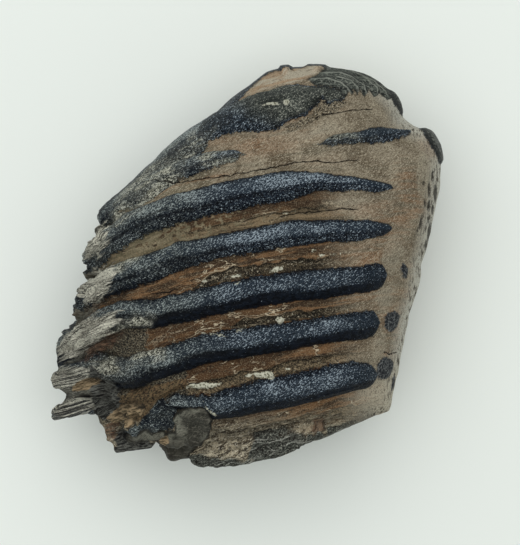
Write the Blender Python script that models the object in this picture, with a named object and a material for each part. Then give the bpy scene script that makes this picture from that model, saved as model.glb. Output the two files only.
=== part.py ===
"""Fossil southern mammoth molar, lying on its side.

Seen from above, the chewing side is on the right, the broken root side on the left and the
front of the tooth at the top. Shapes are worked out in millimetres and scaled to metres at the
end. +Z is up and the flat rest underneath is at z = 0.
"""

import math

import bmesh
import bpy
import numpy as np
from mathutils import Vector, noise

for old in list(bpy.data.objects):
    bpy.data.objects.remove(old, do_unlink=True)

# Driving dimensions, in millimetres
MM_TO_M = 0.001
WIDEST_Z = 40.0
TOP_RISE = 45.0
UNDER_DROP = 42.5
RIDGE_RISE = 2.3
CREST_PLACE = 0.3
UNDER_LEVEL = -2.5
BAND_LEVEL = -1.1
GROOVE_LEVEL = -2.2
LIP_RISE = 2.6
FLAKE_RISE = 1.1
KNOB_RISE = 2.6
HOLLOW_DEPTH = 3.2
ROOT_GAP_DEPTH = 4.5
PLATE_BOW = 2.5
BREAK_ROUGHNESS = 1.2
TIP_SPOT_RISE = 1.0
CENTRE_SHIFT = (0.4, 0.3)
VOXEL = 1.3
TRIANGLES = 9200

# Outline of the cement body seen from above, in order round the tooth
OUTLINE = [
    (67, 0), (69.5, 7), (71, 15), (73, 23.5), (74.5, 33), (74.8, 41.5), (73.7, 46),
    (71.1, 50.8), (66.2, 52.7), (62.6, 54.4), (59.3, 57.9), (57.7, 64), (53.6, 68.6),
    (47.5, 73.1), (44, 74.2), (35, 75.9), (26, 76.7), (17.2, 76.6), (13, 76.5), (8, 75.4),
    (1, 70.1), (-6.2, 65.4), (-12.1, 60.1), (-17.6, 55.8), (-27, 48.8), (-36, 40),
    (-44, 32.5), (-49, 28.2), (-54, 24), (-57.5, 20), (-56, 15.5), (-60.2, 12.3), (-62.6, 6),
    (-62, 0), (-64.2, -4.5), (-64, -8), (-66, -14), (-69.2, -20.5), (-71, -30), (-69, -37),
    (-63, -41),
    (-59, -50), (-58, -57), (-54.5, -62), (-51, -68), (-47, -70.5), (-36, -68.5), (-31, -71.8),
    (-24.5, -72.6), (-16.5, -77.6), (-7.5, -78.2), (1.5, -78.0), (11.5, -75.5), (23.5, -70),
    (30.5, -67.5), (37.5, -64), (44.4, -61.0), (50.4, -57.8), (55.4, -56.6), (56.2, -50), (58, -41.5),
    (59.5, -34.5), (61, -27), (62, -20), (64.5, -13.5), (66.5, -7),
]

# How far the body lies inside that outline at each angle, to leave room for the relief
EDGE_INSET = [
    (0, 0.3), (70, 0.5), (100, 1.4), (150, 1.8), (215, 1.8), (260, 1.4), (300, 0.6), (340, 0.3),
]

# How square the side is at each angle round the tooth: 2 is round, 5 is nearly upright
SQUARENESS = [
    (0, 2.8), (40, 2.6), (80, 2.4), (120, 2.6), (150, 3.0), (180, 4.0), (210, 5.0),
    (240, 4.5), (270, 4.0), (300, 3.6), (330, 3.0),
]

# Enamel plates from the front one down: x, y of the middle line and half width at each station.
# A half width below zero means that cement covers the plate there.
PLATES = [
    [(-80, 5, 3), (-57, 19.5, 3.5), (-49, 27, 5), (-36, 36.5, 6), (-30, 40.5, 5.5),
     (-22, 46, 5), (-14.5, 50.2, 4.6), (-9, 53, 4.6), (-4.5, 54.6, 5), (3.5, 56, 5.5),
     (9, 57.5, 6), (15, 60, 5), (21, 61.5, 3.5), (27, 63, 2), (32, 63, 0),
     (38, 62, -4), (90, 56, -40)],
    [(-80, 5, 3), (-57, 15.5, 3), (-51, 20.5, 3.4), (-43, 26, 3.8), (-35.5, 30.3, 3.8),
     (-27, 34.2, 3.3), (-20.5, 36, 3.3), (-11.5, 38.4, 3), (-4, 39.8, 1.8), (0, 40.3, 0),
     (3, 40.8, -1.5),
     (22, 43.3, -1.5), (27, 44.2, 0), (31, 45, 1.8), (36, 46, 1.9), (41, 46.7, 1.9),
     (46, 47.7, 2.8), (50, 48.2, 3.1), (54.5, 48.5, 2.2), (59, 49, 1.2), (62, 49.5, 0),
     (66, 50, -4), (90, 50, -28)],
    [(-80, -10, 3), (-60, 2.5, 3.5), (-51, 9, 4.5), (-43, 14, 4.8), (-35, 17.5, 4.8),
     (-24, 21, 5), (-9, 24.5, 5.5), (10.5, 28, 5.5), (20, 29.5, 4.5), (27, 30.5, 3.5),
     (38, 29.5, 2.7), (49, 28.5, 2), (55.5, 28.8, 0), (60, 29, -4), (90, 29, -34)],
    [(-80, -23, 3), (-63, -12.5, 3), (-58.5, -8.5, 4), (-50.5, -5.5, 5.3), (-35, -1, 5.4),
     (-24, 3.5, 5.3), (-16.5, 5, 4.5), (-7.5, 7, 4), (10.5, 10.5, 4.6), (20, 11.5, 4.7),
     (30.5, 12, 4.1), (36, 12, 4.1), (43, 12.6, 3.7), (47.5, 13, 3.1), (50.5, 13.2, 2.3),
     (52.4, 13.4, 1.2), (53.2, 13.5, 0), (57, 13.5, -4), (90, 13.5, -37)],
    [(-80, -38, 5), (-70, -32, 5), (-62, -26.5, 5), (-54, -21.8, 5.5), (-46, -18.5, 5.5),
     (-35, -18, 5.5), (-24, -16, 5.5), (-6, -11.8, 5.5), (5, -9.5, 5.5), (16, -8.4, 5.6),
     (30.5, -7, 5.4), (38, -6.2, 5.2), (45.5, -5, 4.9), (48.5, -4.6, 4.7), (49.8, -4.4, 4.1),
     (50.6, -4.3, 3), (51.3, -4.1, 0), (55, -4, -4), (90, -4, -39)],
    [(-80, -45, 4), (-57, -39, 4.5), (-48, -41, 6), (-42.5, -40.3, 6.2), (-35, -37.3, 6),
     (-24, -34, 5.5), (-17, -31.5, 5.6), (-6, -29.5, 5.5), (5, -28, 5.4), (16, -26.5, 5.2),
     (20, -25.5, 4.8), (30.5, -24, 5), (38, -23, 5.1), (44, -22.1, 5.2), (46.4, -21.8, 4.6),
     (47.6, -21.6, 3.6), (48.6, -21.4, 0), (52, -21.4, -4), (90, -21.4, -42)],
    [(-80, -62, 4), (-62, -57, 2.5), (-52, -54, 0), (-40, -52, -1.5), (-31, -50.5, 0),
     (-24, -51, 2), (-16.5, -51, 3.4), (-11.5, -52.5, 5.3), (-6, -51.2, 5.8), (5, -49, 6.2),
     (16, -47, 6.5), (27, -44.5, 6.3), (34.5, -43, 6.2), (40, -41.8, 5.8), (44, -41.2, 5.2),
     (46, -41, 4.2), (47.1, -40.9, 2.8), (47.7, -40.9, 0), (51, -40.9, -4), (90, -40.9, -43)],
    [(-80, -80, 3), (-45, -78, 3), (-17.5, -75, 4), (-2, -71.5, 4), (12.5, -68, 4),
     (24, -64, 3), (30, -61.5, 0), (34, -60, -4), (90, -56, -60)],
]

# Where the rough groove starts from the left, in each strip between two plates
ROUGH_FROM = [-90, -90, -90, -17, -4, -28, -90, -90]

# Splinters and chips: root x, y, tip x, y, half width at root and tip, bottom, top at root and
# top at tip
SHARDS = [
    (-56, -35.0, -71.6, -33.9, 7.6, 5.4, 18, 69, 55),
    (-55, -43.4, -66.5, -45.6, 8.8, 6.0, 22, 62, 54),
    (-65, -44.8, -74.6, -44.4, 7.2, 0.8, 26, 57, 49),
    (-53, -49.2, -66.5, -52.4, 5.0, 4.4, 18, 58, 50),
    (-62, -50.2, -74.6, -58.2, 6.0, 0.9, 22, 54, 46),
    (-52, -58.4, -57.4, -59.2, 3.6, 2.2, 12, 54, 48),
    (-44, -62.6, -54.6, -65.0, 4.6, 3.0, 10, 58, 50),
    (-36, -66.6, -51.6, -70.2, 3.2, 3.1, 14, 56, 48),
    (-28, -63, -46, -64.5, 4.5, 3.0, 24, 64, 57),
    (-13, -58, -29, -61.5, 8.0, 6.5, 30, 73, 64),
    (-18, -65.6, -30.9, -69.8, 6.4, 4.2, 14, 63, 56),
    (-10, -71.4, -20.0, -73.8, 4.2, 2.2, 22, 58, 53),
    (-48, 15, -55.0, 19.6, 4.0, 2.0, 20, 61, 54),
    (-50, 2, -61.8, 3.4, 4.8, 2.6, 16, 63, 53),
    (-52, -5, -62.8, -4.8, 3.4, 2.4, 16, 60, 52),
    (-52, -15.5, -66.4, -20.6, 4.4, 2.0, 18, 65, 54),
]

# Raised lip of the front plate and the worn patch beside it, as closed outlines
LIP = [
    (-17, 50), (-13, 56), (-6, 60), (1.5, 63.4), (7.5, 64.6), (12.8, 67), (18.8, 67.6),
    (25, 66.8), (29.5, 67), (35, 65.4), (37, 63), (36.6, 61), (32.5, 61.2), (31, 59.6),
    (28, 61), (25, 58.4), (22, 55.8), (18.2, 54.2), (13.2, 52.2), (11.4, 49.6), (4.6, 49),
    (-3.8, 49.6), (-10.5, 49.8), (-17, 47),
]
SWIRL = [
    (22.2, 69.9), (26.9, 72.2), (29.7, 74.2), (31, 80), (41, 80), (54, 74), (58, 68), (55, 63),
    (53, 62), (50.4, 64.7), (48, 62.8), (45.9, 65.8), (44.2, 62.2), (42.5, 65.8), (41.2, 63),
    (40.2, 66.2), (39.3, 62.8), (37.9, 64.7), (36.7, 61.7), (34.6, 65), (31.6, 66.4),
    (25.6, 66.9),
]

# Pitted crust under the lip, and the smooth chip and block at the lower left
CRUST = [
    (13.6, 51.6), (19, 53.6), (22.7, 55.1), (25.7, 58.1), (28.7, 60.8), (37.4, 60.8),
    (35.5, 58.5), (30.2, 55.5), (24.9, 53.2), (20.4, 50.6), (15.1, 48.7),
]
CHIP = [
    (-26.2, -55), (-21, -52), (-15.3, -51.6), (-13.1, -55), (-12.7, -59.8), (-14.2, -64),
    (-17.2, -67.3), (-21, -71), (-24, -76), (-30, -75), (-33.5, -69), (-33.3, -65.8), (-31, -64),
    (-26.6, -61.7), (-27.7, -58),
]
BLOCK = [
    (-45.8, -59.7), (-32.3, -59.7), (-30.4, -65.7), (-36, -66.8), (-45, -68), (-46.5, -64.2),
]

# Flakes of enamel on the chewing edge, knobs on the front edge and hollows, the last two as
# x, y, half length, half width and turn in degrees
FLAKES = [
    [(52.6, 69.5), (54.4, 64.4), (56.2, 60.2), (58.6, 57.2), (63, 57), (62, 70)],
    [(65.4, 53.4), (66.8, 50.2), (68, 47.2), (69.8, 44), (71.6, 41.8), (73, 38.5),
     (78, 38.5), (77, 46), (73, 52), (68, 57)],
]
KNOBS = [(14.6, 75, 2.6, 3.4, 0), (26.5, 76, 5.0, 3.6, 5)]
HOLLOWS = [(-46.6, -63.4, 2.8, 2.0, -40), (-60.5, -49.8, 4.5, 0.9, 5)]


def periodic(angle, table):
    """Reads a table of (degrees, value) at angles in radians, round the full turn."""
    degrees = np.degrees(angle) % 360.0
    return np.interp(degrees, [row[0] for row in table], [row[1] for row in table], period=360)


def noise_field(points, size, octaves=3, offset=0.0):
    """Smooth noise between about -1 and 1 with features of the given size."""
    shift = Vector((offset, offset * 0.7, offset * 0.3))
    values = [noise.fractal(Vector(p) / size + shift, 0.6, 2.0, octaves) for p in points]
    return np.array(values)


def smoothstep(low, high, value):
    """Goes from 0 at low to 1 at high with soft ends."""
    t = np.clip((value - low) / (high - low), 0.0, 1.0)
    return t * t * (3.0 - 2.0 * t)


def inside_distance(x, y, corners):
    """Distance to a closed outline: above zero inside it, below zero outside."""
    best = np.full(x.shape, 1e9)
    inside = np.zeros(x.shape, dtype=bool)
    for (ax, ay), (bx, by) in zip(corners, corners[1:] + corners[:1]):
        ex, ey = bx - ax, by - ay
        t = np.clip(((x - ax) * ex + (y - ay) * ey) / (ex * ex + ey * ey), 0.0, 1.0)
        best = np.minimum(best, np.hypot(x - ax - t * ex, y - ay - t * ey))
        if ey != 0.0:
            inside ^= ((ay > y) != (by > y)) & (x < ex * (y - ay) / ey + ax)
    return np.where(inside, best, -best)


def ellipse_distance(x, y, ellipses):
    """Rough distance inside the nearest ellipse of a list, below zero outside them all."""
    best = np.full(x.shape, -1e3)
    for cx, cy, long_half, short_half, degrees in ellipses:
        c, s = math.cos(math.radians(degrees)), math.sin(math.radians(degrees))
        u = ((x - cx) * c + (y - cy) * s) / long_half
        v = (-(x - cx) * s + (y - cy) * c) / short_half
        best = np.maximum(best, (1.0 - np.hypot(u, v)) * short_half)
    return best


OUTLINE_POLAR = [(math.degrees(math.atan2(y, x)) % 360.0, math.hypot(x, y)) for x, y in OUTLINE]
OUTLINE_POLAR.sort()


def add_core(bm):
    """The cement body: a ball pushed out to the outline, with fuller or rounder sides."""
    made = bmesh.ops.create_uvsphere(bm, u_segments=160, v_segments=80, radius=1.0)
    for vert in made["verts"]:
        turn = math.atan2(vert.co.y, vert.co.x)
        flat = min(1.0, math.hypot(vert.co.x, vert.co.y))
        power = float(periodic(turn, SQUARENESS))
        inset = float(periodic(turn, EDGE_INSET))
        reach = (float(periodic(turn, OUTLINE_POLAR)) - inset) * flat ** (2.0 / power)
        rise = TOP_RISE if vert.co.z > 0 else UNDER_DROP
        vert.co = (reach * math.cos(turn), reach * math.sin(turn), WIDEST_Z + rise * vert.co.z)


def add_shard(bm, row):
    """A wedge of broken plate that runs from its root inside the body out to its tip."""
    x0, y0, x1, y1, half0, half1, bottom, top0, top1 = row
    along = Vector((x1 - x0, y1 - y0, 0))
    side = Vector((-along.y, along.x, 0)).normalized()
    made = bmesh.ops.create_cube(bm, size=1.0)
    for vert in made["verts"]:
        t = vert.co.x + 0.5
        half = half0 + (half1 - half0) * t
        top = top0 + (top1 - top0) * t
        low = bottom + 8.0 * t
        level = low if vert.co.z < 0 else top
        spot = Vector((x0, y0, 0)) + along * t + side * (2.0 * vert.co.y * half)
        vert.co = (spot.x, spot.y, level)


def remeshed(bm, voxel):
    """One closed skin round everything in the mesh, built from small even faces."""
    mesh = bpy.data.meshes.new("molar_base")
    bm.to_mesh(mesh)
    bm.free()
    holder = bpy.data.objects.new("molar_base", mesh)
    bpy.context.scene.collection.objects.link(holder)
    remesh = holder.modifiers.new("skin", "REMESH")
    remesh.mode = "VOXEL"
    remesh.voxel_size = voxel
    graph = bpy.context.evaluated_depsgraph_get()
    result = bpy.data.meshes.new_from_object(holder.evaluated_get(graph))
    bpy.data.objects.remove(holder, do_unlink=True)
    out = bmesh.new()
    out.from_mesh(result)
    return out


def plate_fields(x, y):
    """Signed distance to the nearest plate edge, and the place across plate, strip and rows."""
    nearest = np.full(x.shape, 1e3)
    across = np.zeros(x.shape)
    half_here = np.ones(x.shape)
    middles = []
    upper = []
    lower = []
    for stations in PLATES:
        xs = [s[0] for s in stations]
        middle = np.interp(x, xs, [s[1] for s in stations])
        ahead = np.interp(x + 1.0, xs, [s[1] for s in stations])
        half = np.interp(x, xs, [s[2] for s in stations])
        lean = 1.0 / np.sqrt(1.0 + (ahead - middle) ** 2)
        offset = (y - middle) * lean
        signed = np.abs(offset) - half
        closer = signed < nearest
        nearest = np.where(closer, signed, nearest)
        across = np.where(closer, offset, across)
        half_here = np.where(closer, np.maximum(half, 0.5), half_here)
        middles.append(middle)
        upper.append(middle + np.maximum(half, 1.5) / lean)
        lower.append(middle - np.maximum(half, 1.5) / lean)
    strip = np.zeros(x.shape)
    for above, below in zip(lower[:-1], upper[1:]):
        between = (y < above) & (y > below)
        part = (above - y) / np.maximum(above - below, 0.5)
        strip = np.where(between, part, strip)
    row = (middles[0] - y) / 18.0
    for index, (above, below) in enumerate(zip(middles[:-1], middles[1:])):
        part = (above - y) / np.maximum(above - below, 0.5)
        row = np.where(y <= above, index + np.minimum(part, 1.0), row)
    row = np.where(y < middles[-1], len(PLATES) - 1 + (middles[-1] - y) / 18.0, row)
    return nearest, across, half_here, strip, row


def groove(x, row, strip, rough):
    """1 in the rough groove above a ridge and 0 on the smooth band under the next one."""
    late = np.array(ROUGH_FROM)[np.clip(np.floor(row), 0, 7).astype(int)]
    smooth_part = 0.7 * smoothstep(late + 4.0, late - 8.0, x)
    return smoothstep(0.50, 0.58, strip + 0.16 * rough - smooth_part)


def ridges(points, rough, crown, root):
    """Relief of the plates and of the cement between them, and the row number of each point."""
    x, y, z = points[:, 0], points[:, 1], points[:, 2]
    waver = noise_field(points, 14.0, 2, 40.0)
    bow = PLATE_BOW * np.sin(z / 17.0 + 0.04 * x) * smoothstep(62.0, 22.0, z)
    signed, across, half, strip, row = plate_fields(x, y + 0.5 * waver + bow)
    signed = signed + 0.3 * rough
    streaks = noise_field(np.stack([x / 26.0, row * 11.0, z / 26.0], 1), 1.0, 2, 55.0)
    strips = smoothstep(1.5, 2.1, row) * (1.0 - crown)
    step = groove(x, row, strip, rough)
    cement = UNDER_LEVEL + (BAND_LEVEL - UNDER_LEVEL) * smoothstep(0.0, 0.45, strip)
    cement = (cement + (GROOVE_LEVEL - BAND_LEVEL) * step) * (0.12 + 0.88 * strips)
    side_root = root * smoothstep(68.0, 50.0, z)
    cement = cement - ROOT_GAP_DEPTH * side_root * smoothstep(0.0, 0.5, strip)
    edge = np.where(across > 0, GROOVE_LEVEL * 0.8, UNDER_LEVEL) * (0.12 + 0.88 * strips)
    place = np.clip(across / half, -1.0, 1.0) - CREST_PLACE
    span = np.where(place > 0, 1.0 - CREST_PLACE, 1.0 + CREST_PLACE)
    arch = np.sqrt(np.clip(1.0 - (place / span) ** 2, 0.0, 1.0))
    crest = RIDGE_RISE * (1.0 - 0.25 * crown)
    shelf = smoothstep(-0.5, -0.75, place + 0.5 * streaks) * strips
    ridge = edge + (crest - edge) * arch ** 0.8 - 0.5 * shelf * arch
    return np.where(signed < 0, np.maximum(ridge, cement), cement), row, strip, streaks


def patches(points, out, row, streaks):
    """Adds the lip, the worn patch, the crust, the chips, flakes, knobs and hollows."""
    x, y, z = points[:, 0], points[:, 1], points[:, 2]
    layers = noise_field(np.stack([x / 13.0, row * 5.0, z / 13.0], 1), 1.0, 3, 21.0)
    upper = z > 38.0
    lip = np.where(upper, inside_distance(x, y, LIP), -50.0)
    height = LIP_RISE * np.exp(-(((x - 4) / 17) ** 2)) + 1.0 + 0.5 * streaks
    rise = smoothstep(0.0, 1.5, lip) * (0.7 + 0.3 * smoothstep(2.0, 5.0, lip))
    out = np.where(lip > 0, np.maximum(out, -0.6 + height * rise), out)
    out = out - 0.9 * smoothstep(-2.5, 0.0, lip) * (lip < 0) * (y < 60) * (x > -8)
    swirl = np.where(upper, inside_distance(x, y, SWIRL), -50.0)
    out = np.where(swirl > 0, -0.4 + 0.5 * smoothstep(0.0, 1.0, swirl) + 0.45 * streaks, out)
    crust = np.where(upper, inside_distance(x, y, CRUST), -50.0)
    out = out + np.where(crust > 0, 0.9 * layers - 0.4, 0.0)
    out = out - HOLLOW_DEPTH * smoothstep(-0.3, 1.6, ellipse_distance(x, y, HOLLOWS)) * (z > 48)
    chip = np.maximum(inside_distance(x, y, CHIP), inside_distance(x, y, BLOCK))
    chip = np.where(z > 40, chip, -50.0)
    facets = np.abs(noise_field(points * np.array([1.3, 0.7, 1.0]), 9.0, 1, 33.0))
    out = np.where(chip > 0, 1.2 - 5.0 * facets + 0.4 * smoothstep(0.0, 1.0, chip), out)
    flake = np.maximum(inside_distance(x, y, FLAKES[0]), inside_distance(x, y, FLAKES[1]))
    flake = np.minimum(flake, z - 27.0)
    out = np.where(flake > 0, FLAKE_RISE * smoothstep(0.0, 1.6, flake), out)
    out = out + KNOB_RISE * smoothstep(0.0, 1.2, ellipse_distance(x, y, KNOBS)) * (z > 30)
    return out, chip, flake


def relief(points):
    """How far the skin moves out at each point, in millimetres."""
    x, y, z = points[:, 0], points[:, 1], points[:, 2]
    rough = noise_field(points, 9.0)
    crown = smoothstep(24.0, 46.0, x + 0.12 * y)
    root = smoothstep(-38.0, -60.0, x + 0.25 * y)
    lower_break = smoothstep(-52.0, -66.0, y)
    out, row, strip, streaks = ridges(points, rough, crown, root)
    out, chip, flake = patches(points, out, row, streaks)
    for stations in PLATES[2:7]:
        tip_y = stations[-1][1]
        for level in (12, 22, 32, 42):
            bump = np.exp(-(((y - tip_y) / 3.2) ** 2 + ((z - level) / 4.0) ** 2))
            out = out + TIP_SPOT_RISE * bump * smoothstep(46.0, 56.0, x)
    step = groove(x, row, strip, rough)
    out = out + 0.4 * rough * (0.3 + 0.7 * step + 1.2 * root) * (chip < 0)
    fibres = noise_field(np.stack([x / 11.0, row * 8.0, z / 12.0], 1), 1.0, 3, 91.0)
    splits = 0.5 - 2.2 * np.abs(fibres)
    out = out + 1.1 * splits * root + 1.0 * splits * lower_break * (chip < 0)
    ledges = np.abs(noise_field(points * np.array([0.35, 1.0, 1.6]), 11.0, 2, 80.0))
    broken = smoothstep(68.0, 50.0, z) * np.maximum(root, lower_break)
    out = out + BREAK_ROUGHNESS * broken * (1.2 - 4.0 * ledges)
    reach = periodic(np.arctan2(y, x), OUTLINE_POLAR)
    thin = smoothstep(0.93, 1.0, np.hypot(x, y) / reach)
    held = np.where(out < 0, 1.0 - 0.9 * thin * (z > 8), 1.0 - 0.6 * thin * (flake < 0))
    return out * held


def moved_out(bm):
    """Pushes each point of the skin along its normal by the relief."""
    bmesh.ops.smooth_vert(bm, verts=bm.verts, factor=0.5, use_axis_x=True, use_axis_y=True,
                          use_axis_z=True)
    bm.normal_update()
    points = np.array([v.co[:] for v in bm.verts])
    normals = np.array([v.normal[:] for v in bm.verts])
    shifted = points + normals * relief(points)[:, None]
    shifted[:, 2] = np.maximum(shifted[:, 2], 0.0)
    for vert, spot in zip(bm.verts, shifted):
        vert.co = spot


def thinned(bm, triangles):
    """Fewer faces where the skin is nearly flat, with the rest underneath kept level."""
    mesh = bpy.data.meshes.new("molar")
    bmesh.ops.triangulate(bm, faces=bm.faces)
    bm.to_mesh(mesh)
    total = len(bm.faces)
    bm.free()
    holder = bpy.data.objects.new("molar_fine", mesh)
    bpy.context.scene.collection.objects.link(holder)
    thin = holder.modifiers.new("thin", "DECIMATE")
    thin.ratio = min(1.0, triangles / total)
    graph = bpy.context.evaluated_depsgraph_get()
    result = bpy.data.meshes.new_from_object(holder.evaluated_get(graph))
    bpy.data.objects.remove(holder, do_unlink=True)
    out = bmesh.new()
    out.from_mesh(result)
    for vert in out.verts:
        if vert.co.z < 0.12:
            vert.co.z = 0.0
    bmesh.ops.triangulate(out, faces=out.faces)
    return out


base = bmesh.new()
add_core(base)
for shard in SHARDS:
    add_shard(base, shard)
skin = remeshed(base, VOXEL)
moved_out(skin)
final = thinned(skin, TRIANGLES)
bmesh.ops.translate(final, vec=(CENTRE_SHIFT[0], CENTRE_SHIFT[1], 0.0), verts=final.verts)
bmesh.ops.scale(final, vec=(MM_TO_M, MM_TO_M, MM_TO_M), verts=final.verts)
bmesh.ops.recalc_face_normals(final, faces=final.faces)

molar_mesh = bpy.data.meshes.new("molar")
final.to_mesh(molar_mesh)
print("molar triangles", len(final.faces))
final.free()
molar = bpy.data.objects.new("molar", molar_mesh)
bpy.context.scene.collection.objects.link(molar)

fossil = bpy.data.materials.new("fossil_tooth")
fossil.use_nodes = True
shader = fossil.node_tree.nodes["Principled BSDF"]
shader.inputs["Base Color"].default_value = (0.13, 0.11, 0.09, 1.0)
shader.inputs["Roughness"].default_value = 0.6
molar_mesh.materials.append(fossil)
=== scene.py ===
# %% [markdown]
# # Fossil southern mammoth molar
#
# A mammoth's molar is a row of tall, flat enamel plates glued together by cement. This one
# broke and was buried, and lies on its side: the chewing side is on the right, the broken
# root side on the left, and the dark edges of the plates stand out as ridges between strips
# of brown cement. The lesson starts with the solid model of the tooth, which gives its place
# and size. One finer skin is then built over it, and one procedural material colours it from
# numbers stored on the skin.

# %% Load the solid model
import math

import bmesh
import bpy
import numpy as np
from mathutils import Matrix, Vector, noise


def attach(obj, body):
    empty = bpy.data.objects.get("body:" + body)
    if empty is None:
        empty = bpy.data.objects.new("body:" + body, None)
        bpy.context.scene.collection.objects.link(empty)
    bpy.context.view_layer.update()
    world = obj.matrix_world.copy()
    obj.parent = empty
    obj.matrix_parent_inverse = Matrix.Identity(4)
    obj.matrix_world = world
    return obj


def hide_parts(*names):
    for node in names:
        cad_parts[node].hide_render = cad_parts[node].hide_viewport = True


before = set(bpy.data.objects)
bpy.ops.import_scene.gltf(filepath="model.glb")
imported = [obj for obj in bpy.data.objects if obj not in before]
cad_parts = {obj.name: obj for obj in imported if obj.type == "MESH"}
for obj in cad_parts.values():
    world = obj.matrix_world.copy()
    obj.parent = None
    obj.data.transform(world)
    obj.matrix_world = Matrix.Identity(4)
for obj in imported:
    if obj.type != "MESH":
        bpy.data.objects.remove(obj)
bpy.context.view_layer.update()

# %% [markdown]
# ## Measurements
#
# Every length here is in millimetres, because a tooth is easier to think about that way, and
# the finished skin is scaled to metres at the end. The outline could be drawn as a curve, but
# a plain list of points round the tooth also says how far each direction reaches, which is
# what the next steps need.

# %% Outline and sides
MM_TO_M = 0.001
WIDEST_Z = 40.0
TOP_RISE = 45.0
UNDER_DROP = 42.5
EDGE_INSET = [
    (0, 0.3), (70, 0.5), (100, 1.4), (150, 1.8), (215, 1.8), (260, 1.4), (300, 0.6), (340, 0.3),
]
CENTRE_SHIFT = (0.4, 0.3)
SKIN_STEP = 0.95

OUTLINE = [
    (67, 0), (69.5, 7), (71, 15), (73, 23.5), (74.5, 33), (74.8, 41.5), (73.7, 46),
    (71.1, 50.8), (66.2, 52.7), (62.6, 54.4), (59.3, 57.9), (57.7, 64), (53.6, 68.6),
    (47.5, 73.1), (44, 74.2), (35, 75.9), (26, 76.7), (17.2, 76.6), (13, 76.5), (8, 75.4),
    (1, 70.1), (-6.2, 65.4), (-12.1, 60.1), (-17.6, 55.8), (-27, 48.8), (-36, 40),
    (-44, 32.5), (-49, 28.2), (-54, 24), (-57.5, 20), (-56, 15.5), (-60.2, 12.3), (-62.6, 6),
    (-62, 0), (-64.2, -4.5), (-64, -8), (-66, -14), (-69.2, -20.5), (-71, -30), (-69, -37),
    (-63, -41),
    (-59, -50), (-58, -57), (-54.5, -62), (-51, -68), (-47, -70.5), (-36, -68.5), (-31, -71.8),
    (-24.5, -72.6), (-16.5, -77.6), (-7.5, -78.2), (1.5, -78.0), (11.5, -75.5), (23.5, -70),
    (30.5, -67.5), (37.5, -64), (44.4, -61.0), (50.4, -57.8), (55.4, -56.6), (56.2, -50), (58, -41.5),
    (59.5, -34.5), (61, -27), (62, -20), (64.5, -13.5), (66.5, -7),
]
SQUARENESS = [
    (0, 2.8), (40, 2.6), (80, 2.4), (120, 2.6), (150, 3.0), (180, 4.0), (210, 5.0),
    (240, 4.5), (270, 4.0), (300, 3.6), (330, 3.0),
]
OUTLINE_POLAR = [(math.degrees(math.atan2(y, x)) % 360.0, math.hypot(x, y)) for x, y in OUTLINE]
OUTLINE_POLAR.sort()
print("outline points", len(OUTLINE))

# %% [markdown]
# ## Where the plates are
#
# Each enamel plate shows on the side of the tooth as one long ridge. A few stations along it
# give its middle line and its half width. Where the half width is below zero the cement covers
# the plate, so a ridge can fade out and come back, as the second one does. Each strip between
# two plates has one x where its rough groove starts, and one where its rust brown starts, with
# the length over which the brown fades in.

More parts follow.
